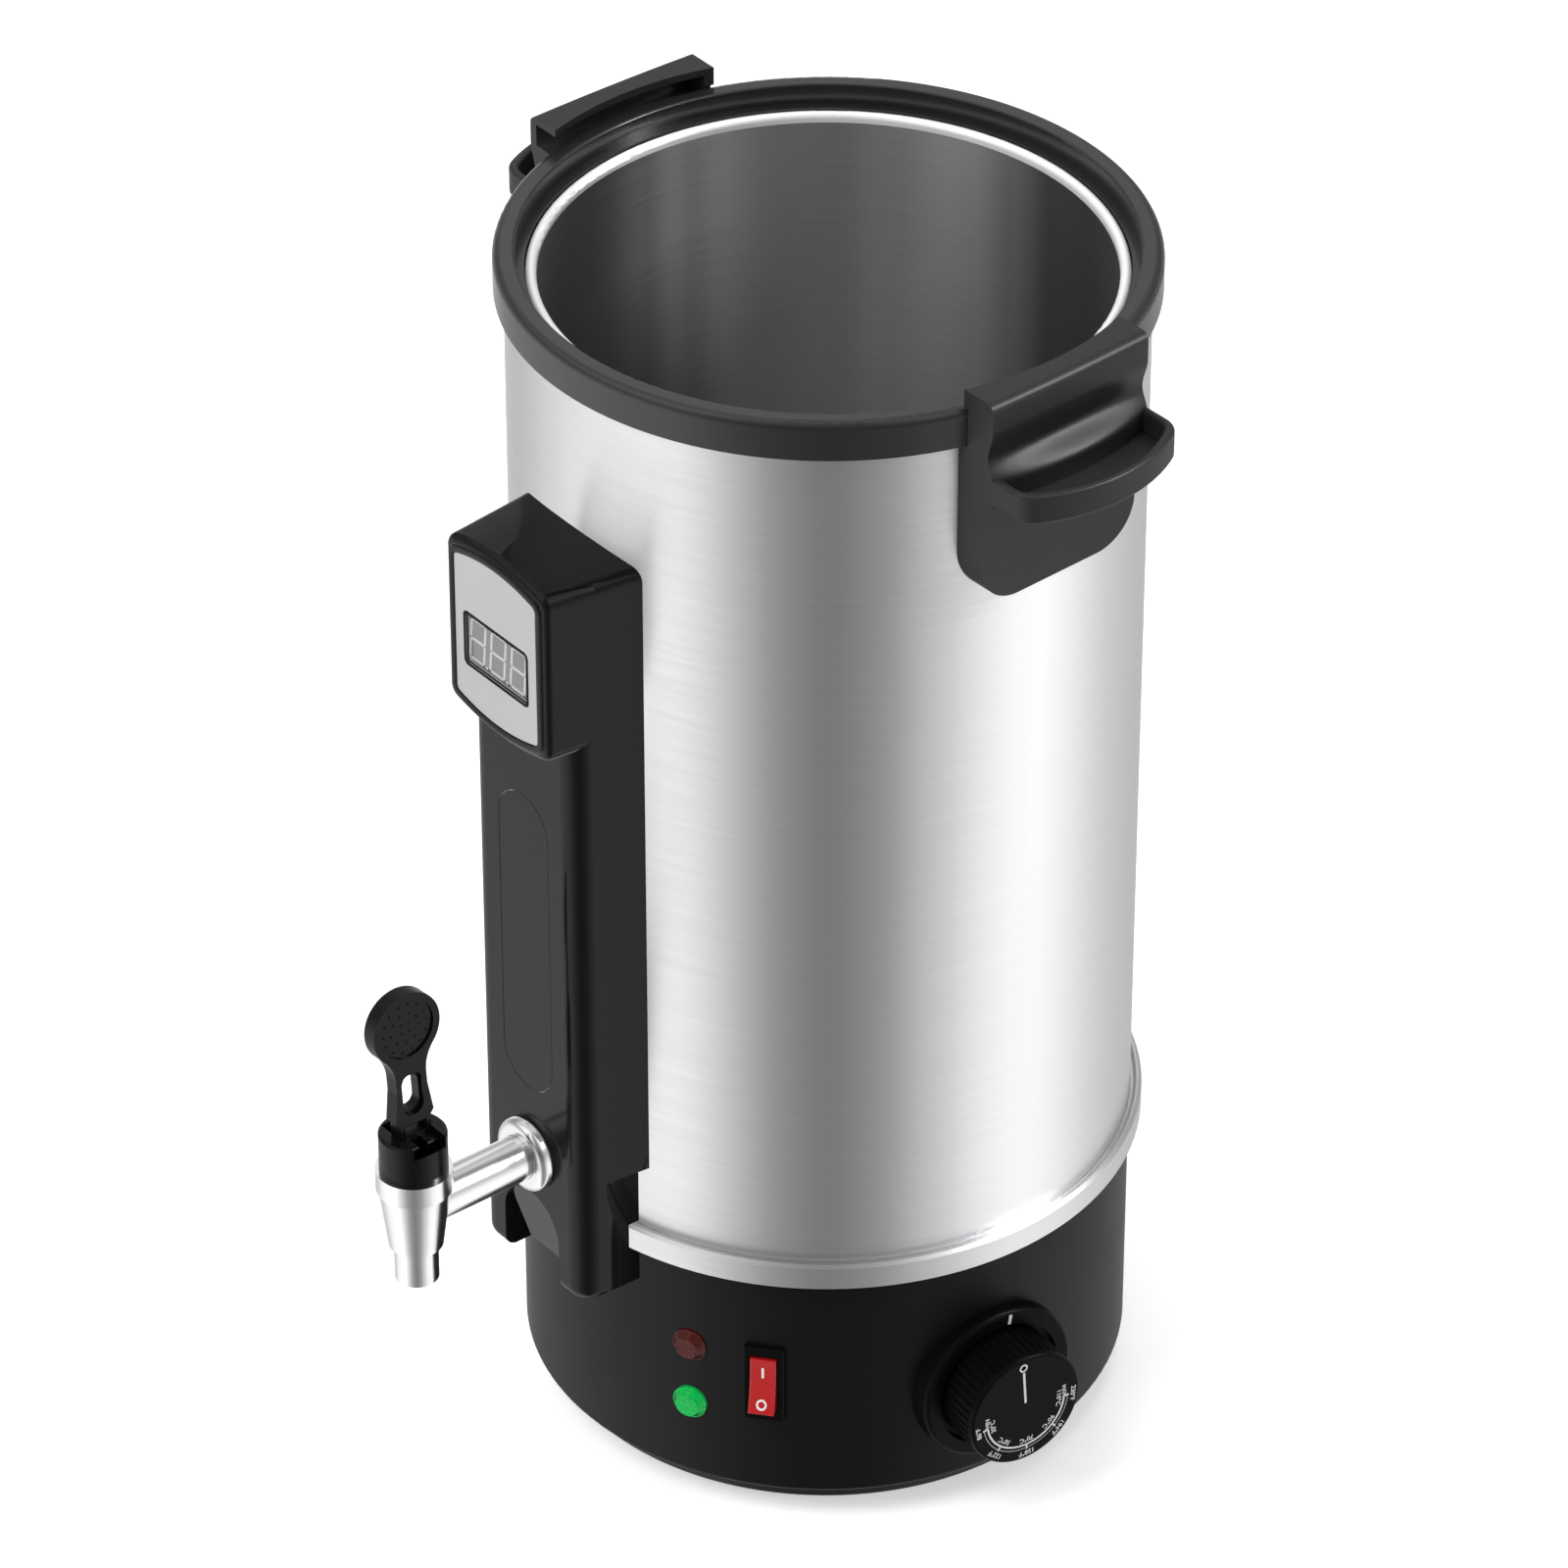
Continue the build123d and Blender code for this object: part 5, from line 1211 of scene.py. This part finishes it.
@dataclass(frozen=True)
class Dial:
    """The thermostat's dial, with its printed scale and the index on its bezel.

    Angles are degrees clockwise from the dial's top, before the dial's own turn.
    """

    azimuth: float = 84.0
    height: float = 50.0 * MM
    face: float = 126.0 * MM
    bezel_face: float = 109.5 * MM
    turn: float = -4.0
    print_depth: float = 0.06 * MM
    arc: float = 15.6 * MM
    arc_width: float = 0.7 * MM
    arc_sides: int = 96
    tick: float = 2.0 * MM
    dots: float = 17.1 * MM
    dot: Flat = (0.3 * MM, 0.3 * MM)
    dot_count: int = 84
    off_reach: float = 18.2 * MM
    off_radius: float = 1.6 * MM
    pointer: Flat = (2.8 * MM, 16.2 * MM)
    pointer_width: float = 0.85 * MM
    celsius_reach: float = 13.4 * MM
    fahrenheit_reach: float = 19.2 * MM
    lettering: float = 2.7 * MM
    end_lettering: float = 0.85 * 2.7 * MM
    end_gap: float = 9.0
    # The scale runs back round the dial from its hottest mark, one mark every 42 degrees
    marks: tuple[int, ...] = (110, 90, 70, 50, 30)
    hottest: float = 98.0
    spacing: float = 42.0
    index_angle: float = 9.0
    index_reach: float = 26.1 * MM
    index_size: Flat = (1.2 * MM, 3.8 * MM)
    index_cuts: int = 6

    def at(self, angle: float, reach: float) -> Flat:
        """Returns the point at an angle on the dial."""
        t = radians(angle + self.turn)
        return reach * sin(t), reach * cos(t)

    def word(self, sheet: Sheetwork, words: str, size: float, angle: float, reach: float) -> None:
        """Prints a word whose foot points at the dial's middle."""
        sheet.text(words, size, self.at(angle, reach), angle + self.turn)

    def stroke(self, sheet: Sheetwork, size: Flat, angle: float, reach: float) -> None:
        """Prints a bar that points at the dial's middle."""
        sheet.bar(self.at(angle, reach), size, angle + self.turn)

    def scale(self) -> Sheetwork:
        """Draws the dial's printed scale."""
        sheet = Sheetwork()
        sheet.off(self.at(0, self.off_reach), self.off_radius)
        low, high = self.pointer
        self.stroke(sheet, (self.pointer_width, high - low), 0, (low + high) / 2)
        span = (len(self.marks) - 1) * self.spacing
        start, half = self.hottest + self.turn, self.arc_width / 2
        outer, inner = self.arc + half, self.arc - half
        sheet.ring((0, 0), outer, inner, start, start + span, sides=self.arc_sides)
        before, after = self.hottest - self.end_gap, self.hottest + span + self.end_gap
        self.word(sheet, "MAX", self.end_lettering, before, self.arc)
        self.word(sheet, "MIN", self.end_lettering, after, self.arc)
        for k, degrees in enumerate(self.marks):
            angle = self.hottest + k * self.spacing
            self.stroke(sheet, (self.arc_width, self.tick), angle, self.arc + self.tick / 2)
            self.word(sheet, f"{degrees}°C", self.lettering, angle, self.celsius_reach)
            warm = round(degrees * 1.8 + 32)
            self.word(sheet, f"{warm}°F", self.lettering, angle, self.fahrenheit_reach)
        for k in range(self.dot_count):
            angle = self.hottest + (k + 0.5) * span / self.dot_count
            self.stroke(sheet, self.dot, angle, self.dots)
        return sheet

    def build(self) -> None:
        """Dresses the dial and prints it."""
        dress(Shop.KNOB_BLACK, "dial_bezel", "dial_knob")
        dress(Shop.SCREW_STEEL, "dial_screws")
        dress(Shop.BRASS, "thermostat_shaft")
        look = "plate_silver", Shop.PRINT_WHITE
        face = TANK.wall(self.azimuth, self.height, self.face)
        self.scale().finish("dial_scale", face, self.print_depth, "dial", *look, "dial_knob")
        index = Sheetwork()
        t = radians(self.index_angle)
        middle = (self.index_reach * sin(t), self.index_reach * cos(t))
        index.bar(middle, self.index_size, self.index_angle, self.index_cuts)
        bezel = TANK.wall(self.azimuth, self.height, self.bezel_face)
        index.finish("dial_index", bezel, self.print_depth, "melter", *look, "dial_bezel")


@dataclass(frozen=True)
class Switches:
    """The mains rocker and the two signal lamps."""

    azimuth: float = 40.0
    height: float = 59.0 * MM
    face: float = 106.5 * MM
    mark_rise: float = 6.0 * MM
    mark_depth: float = 0.05 * MM
    on_mark: Flat = (0.85 * MM, 4.2 * MM)
    on_cuts: int = 6
    off_mark: float = 1.85 * MM

    def build(self) -> None:
        """Dresses the switches and prints the rocker."""
        dress(Shop.KNOB_BLACK, "switch_frame", "lamp_holders")
        dress(Shop.BRASS, "switch_terminals")
        dress(Shop.ROCKER_RED, "switch_rocker")
        dress(Shop.LENS_RED, "lamp_red_lens")
        dress(Shop.LENS_GREEN, "lamp_green_lens")
        unmirrored("switch_rocker", "lamp_red_lens", "lamp_green_lens")
        marks = Sheetwork()
        marks.bar((0, self.mark_rise), self.on_mark, cuts=self.on_cuts)
        marks.off((0, -self.mark_rise), self.off_mark)
        wall = TANK.wall(self.azimuth, self.height, self.face)
        look = "plate_silver", Shop.PRINT_WHITE
        marks.finish("rocker_marks", wall, self.mark_depth, "rocker", *look, "switch_rocker")


@dataclass(frozen=True)
class Display:
    """The temperature display in the column's head."""

    height: float = 343.0 * MM
    plate_face: float = 136.3 * MM
    window_face: float = 135.0 * MM
    border_outer: Flat = (17.2 * MM, 10.5 * MM)
    border_inner: Flat = (16.1 * MM, 9.4 * MM)
    border_depth: float = 0.12 * MM
    corner: float = 2.2 * MM
    digit_tall: float = 15.6 * MM
    digit_wide: float = 7.4 * MM
    digit_depth: float = 0.05 * MM
    digit_pitch: float = 10.8 * MM
    digit_shift: float = -0.6 * MM
    stroke: float = 1.15 * MM
    segment_gap: float = 0.12 * MM
    slant: float = 5.0
    point_reach: float = 1.6 * MM
    point_radius: float = 0.6 * MM
    point_hole: float = 0.05 * MM
    point_sides: int = 16
    bezel_points: int = 120
    # The bead's section: out from the plate's outline, and up from its face
    bezel_section: tuple[Flat, ...] = (
        (1.2 * MM, -0.3 * MM),
        (1.2 * MM, -0.05 * MM),
        (1.0 * MM, 0.2 * MM),
        (0.5 * MM, 0.42 * MM),
        (-0.2 * MM, 0.5 * MM),
        (-1.1 * MM, 0.42 * MM),
        (-1.6 * MM, 0.25 * MM),
        (-1.85 * MM, -0.02 * MM),
        (-1.85 * MM, -0.2 * MM),
    )

    def bezel(self) -> Shape:
        """Builds the moulded bead that follows the plate's outline."""
        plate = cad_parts["display_plate"]
        points = [plate.matrix_world @ v.co for v in plate.data.vertices]
        front = min(p.y for p in points)
        middle = sum(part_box("display_plate")[k].z for k in (0, 1)) / 2
        # The corners of its face, to the micrometre
        face = [p for p in points if p.y < front + 10 * HAIR]
        outline = {(round(p.x, 6), round(p.z - middle, 6)) for p in face}
        ordered = sorted(hull(outline), key=lambda p: atan2(p[1], p[0]))
        line = resampled(ordered, self.bezel_points)
        shape = bmesh.new()
        rows = []
        for k, (x, z) in enumerate(line):
            # The outline's direction here, from the points two steps before and after
            (ax, az), (bx, bz) = line[k - 2], line[(k + 2) % len(line)]
            tx, tz = bx - ax, bz - az
            length = hypot(tx, tz)
            nx, nz = tz / length, -tx / length
            rows.append(
                [
                    shape.verts.new((x + nx * out, front - rise, middle + z + nz * out))
                    for out, rise in self.bezel_section
                ]
            )
        joined(shape, rows + rows[:1])
        return smoothed(shape)

    def digit(self, sheet: Sheetwork, middle: float) -> None:
        """Draws the seven segments and the point of one digit.

        Args:
            sheet: The sheet that they are drawn on.
            middle: How far along it their middle is.
        """
        lean = tan(radians(self.slant))
        w, h, t = self.digit_wide / 2, self.digit_tall / 2, self.stroke / 2
        corners = [(-w, h), (w, h), (w, 0), (-w, 0), (w, -h), (-w, -h)]
        for a, b in ((0, 1), (1, 2), (0, 3), (3, 2), (2, 4), (3, 5), (5, 4)):
            (x0, y0), (x1, y1) = corners[a], corners[b]
            length = abs(x1 - x0) + abs(y1 - y0)
            ux, uy = (x1 - x0) / length, (y1 - y0) / length
            near, far = self.segment_gap, length - self.segment_gap
            upper, lower = ((near + t, t), (far - t, t)), ((far - t, -t), (near + t, -t))
            points = []
            for along, across in ((near, 0), *upper, (far, 0), *lower):
                x, y = x0 + ux * along - uy * across, y0 + uy * along + ux * across
                points.append((middle + x + y * lean, y))
            sheet.outline(points)
        point = (middle + w + self.point_reach - h * lean, -h)
        sheet.ring(point, self.point_radius, self.point_hole, sides=self.point_sides)

    def build(self) -> None:
        """Dresses the display, frames its window and draws its unlit digits."""
        dress(Shop.PLATE_SILVER, "display_plate")
        dress(Shop.WINDOW_SMOKE, "display_window")
        dress(Shop.MODULE_WHITE, "display_module")
        dress(Shop.BOARD_GREEN, "display_board")
        piece("plate_bezel", self.bezel(), "melter", Shop.GLOSS_BLACK)
        gasket = Sheetwork()
        wall = self.border_outer[0] - self.border_inner[0]
        gasket.frame(self.border_outer, self.border_inner, self.corner, wall)
        plate = TANK.wall(0, self.height, self.plate_face)
        look = "black_satin", Shop.KNOB_BLACK
        gasket.finish("window_border", plate, self.border_depth, "melter", *look)
        digits = Sheetwork()
        for k in (-1, 0, 1):
            self.digit(digits, k * self.digit_pitch + self.digit_shift)
        window = TANK.wall(0, self.height, self.window_face)
        look = "module_white", Shop.SEGMENT_GREY
        digits.finish("display_digits", window, self.digit_depth, "melter", *look)


@dataclass(frozen=True)
class Column:
    """The column down the front that carries the display and the tap."""

    def build(self) -> None:
        """Dresses the column."""
        dress(Shop.GLOSS_BLACK, "column_cover", "column_grip_panel")
        dress(Shop.SCREW_STEEL, "column_screws")
        unmirrored("column_cover", "column_grip_panel", "display_plate", "display_window")


@dataclass(frozen=True)
class Tap:
    """The lever tap, with the studs on its lever's thumb rest."""

    pivot: Vector = Vector((0, -135.95, 164.0)) * MM
    lean: float = 5.0
    centre_rise: float = 47.7 * MM
    rest_depth: float = 2.0 * MM
    spring_wire: float = 0.4 * MM
    spring_turns: int = 5
    spring_slack: float = 0.15 * MM
    turn_steps: int = 20
    wire_sides: int = 8
    lift: float = 3.35 * MM
    stud_radius: float = 0.55 * MM
    stud_height: float = 0.35 * MM
    stud_rings: tuple[tuple[float, int], ...] = ((8.9 * MM, 14), (5.6 * MM, 9), (2.2 * MM, 4))
    # A stud's section, in shares of its radius and its height, without its top
    stud_section: tuple[Flat, ...] = ((1.0, -0.3), (1.0, 0.0), (0.85, 0.55), (0.5, 0.87))
    stud_sides: int = 10

    def spring(self) -> None:
        """Winds the return spring in place of the solid one."""
        low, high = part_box("tap_spring")
        height = high.z - low.z
        mean = (high.x - low.x) / 2 - self.spring_wire
        pitch = (height - 2 * self.spring_wire) / self.spring_turns
        up = Vector((0, 0, 1))
        shape = bmesh.new()
        rings = []
        for k in range(self.spring_turns * self.turn_steps + 1):
            t = 2 * pi * k / self.turn_steps
            out = Vector((cos(t), sin(t), 0))
            rise = low.z + self.spring_wire + pitch * k / self.turn_steps
            middle = Vector((0, self.pivot.y, rise)) + out * mean
            rings.append(hoop(shape, middle, out, up, self.spring_wire, self.wire_sides))
        joined(shape, rings)
        shape.faces.new(rings[0])
        shape.faces.new(list(reversed(rings[-1])))
        made = piece("return_spring", smoothed(shape), "melter", Shop.SCREW_STEEL)
        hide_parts("tap_spring")
        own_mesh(made)

    def studs(self) -> Shape:
        """Builds the small domes on the lever's thumb rest."""
        t = radians(self.lean)
        out, up = Vector((cos(t), 0, sin(t))), Vector((-sin(t), 0, cos(t)))
        across = Vector((0, 1, 0))
        middle = self.pivot + up * self.centre_rise + out * self.rest_depth
        shape = bmesh.new()
        for reach, count in self.stud_rings:
            for k in range(count):
                t = 2 * pi * (k + 0.5) / count
                foot = middle + across * (reach * sin(t)) + up * (reach * cos(t))
                rings = []
                for share, rise in self.stud_section:
                    level, radius = foot + out * (self.stud_height * rise), self.stud_radius * share
                    rings.append(hoop(shape, level, across, up, radius, self.stud_sides))
                top = shape.verts.new(foot + out * self.stud_height)
                joined(shape, rings)
                last = rings[-1]
                for a, b in zip(last, last[1:] + last[:1]):
                    shape.faces.new((a, b, top))
                shape.faces.new(list(reversed(rings[0])))
        return smoothed(shape)

    def build(self) -> None:
        """Dresses the tap and studs its lever."""
        dress(Shop.CHROME, "tap_body", "tap_flange")
        dress(Shop.LEVER_BLACK, "tap_bonnet", "tap_lever")
        dress(Shop.SCREW_STEEL, "tap_lock_nut")
        # The pin and plunger inside the bonnet are darkened as painted shade
        dress(Shop.SHADE_PAINTED_STEEL, "lever_pin", "tap_plunger")
        dress(Shop.SILICONE, "tap_seals", "tap_valve_seal")
        self.spring()
        piece("lever_studs", self.studs(), "lever", Shop.LEVER_BLACK)


def main() -> None:
    """Builds the studio, then every sub-assembly in order."""
    logging.basicConfig(level=logging.INFO, format="%(name)s: %(message)s")
    for part in (Studio(), Vessel(), Base(), Dial(), Switches(), Display(), Column(), Tap()):
        part.build()


if __name__ == "__main__":
    main()
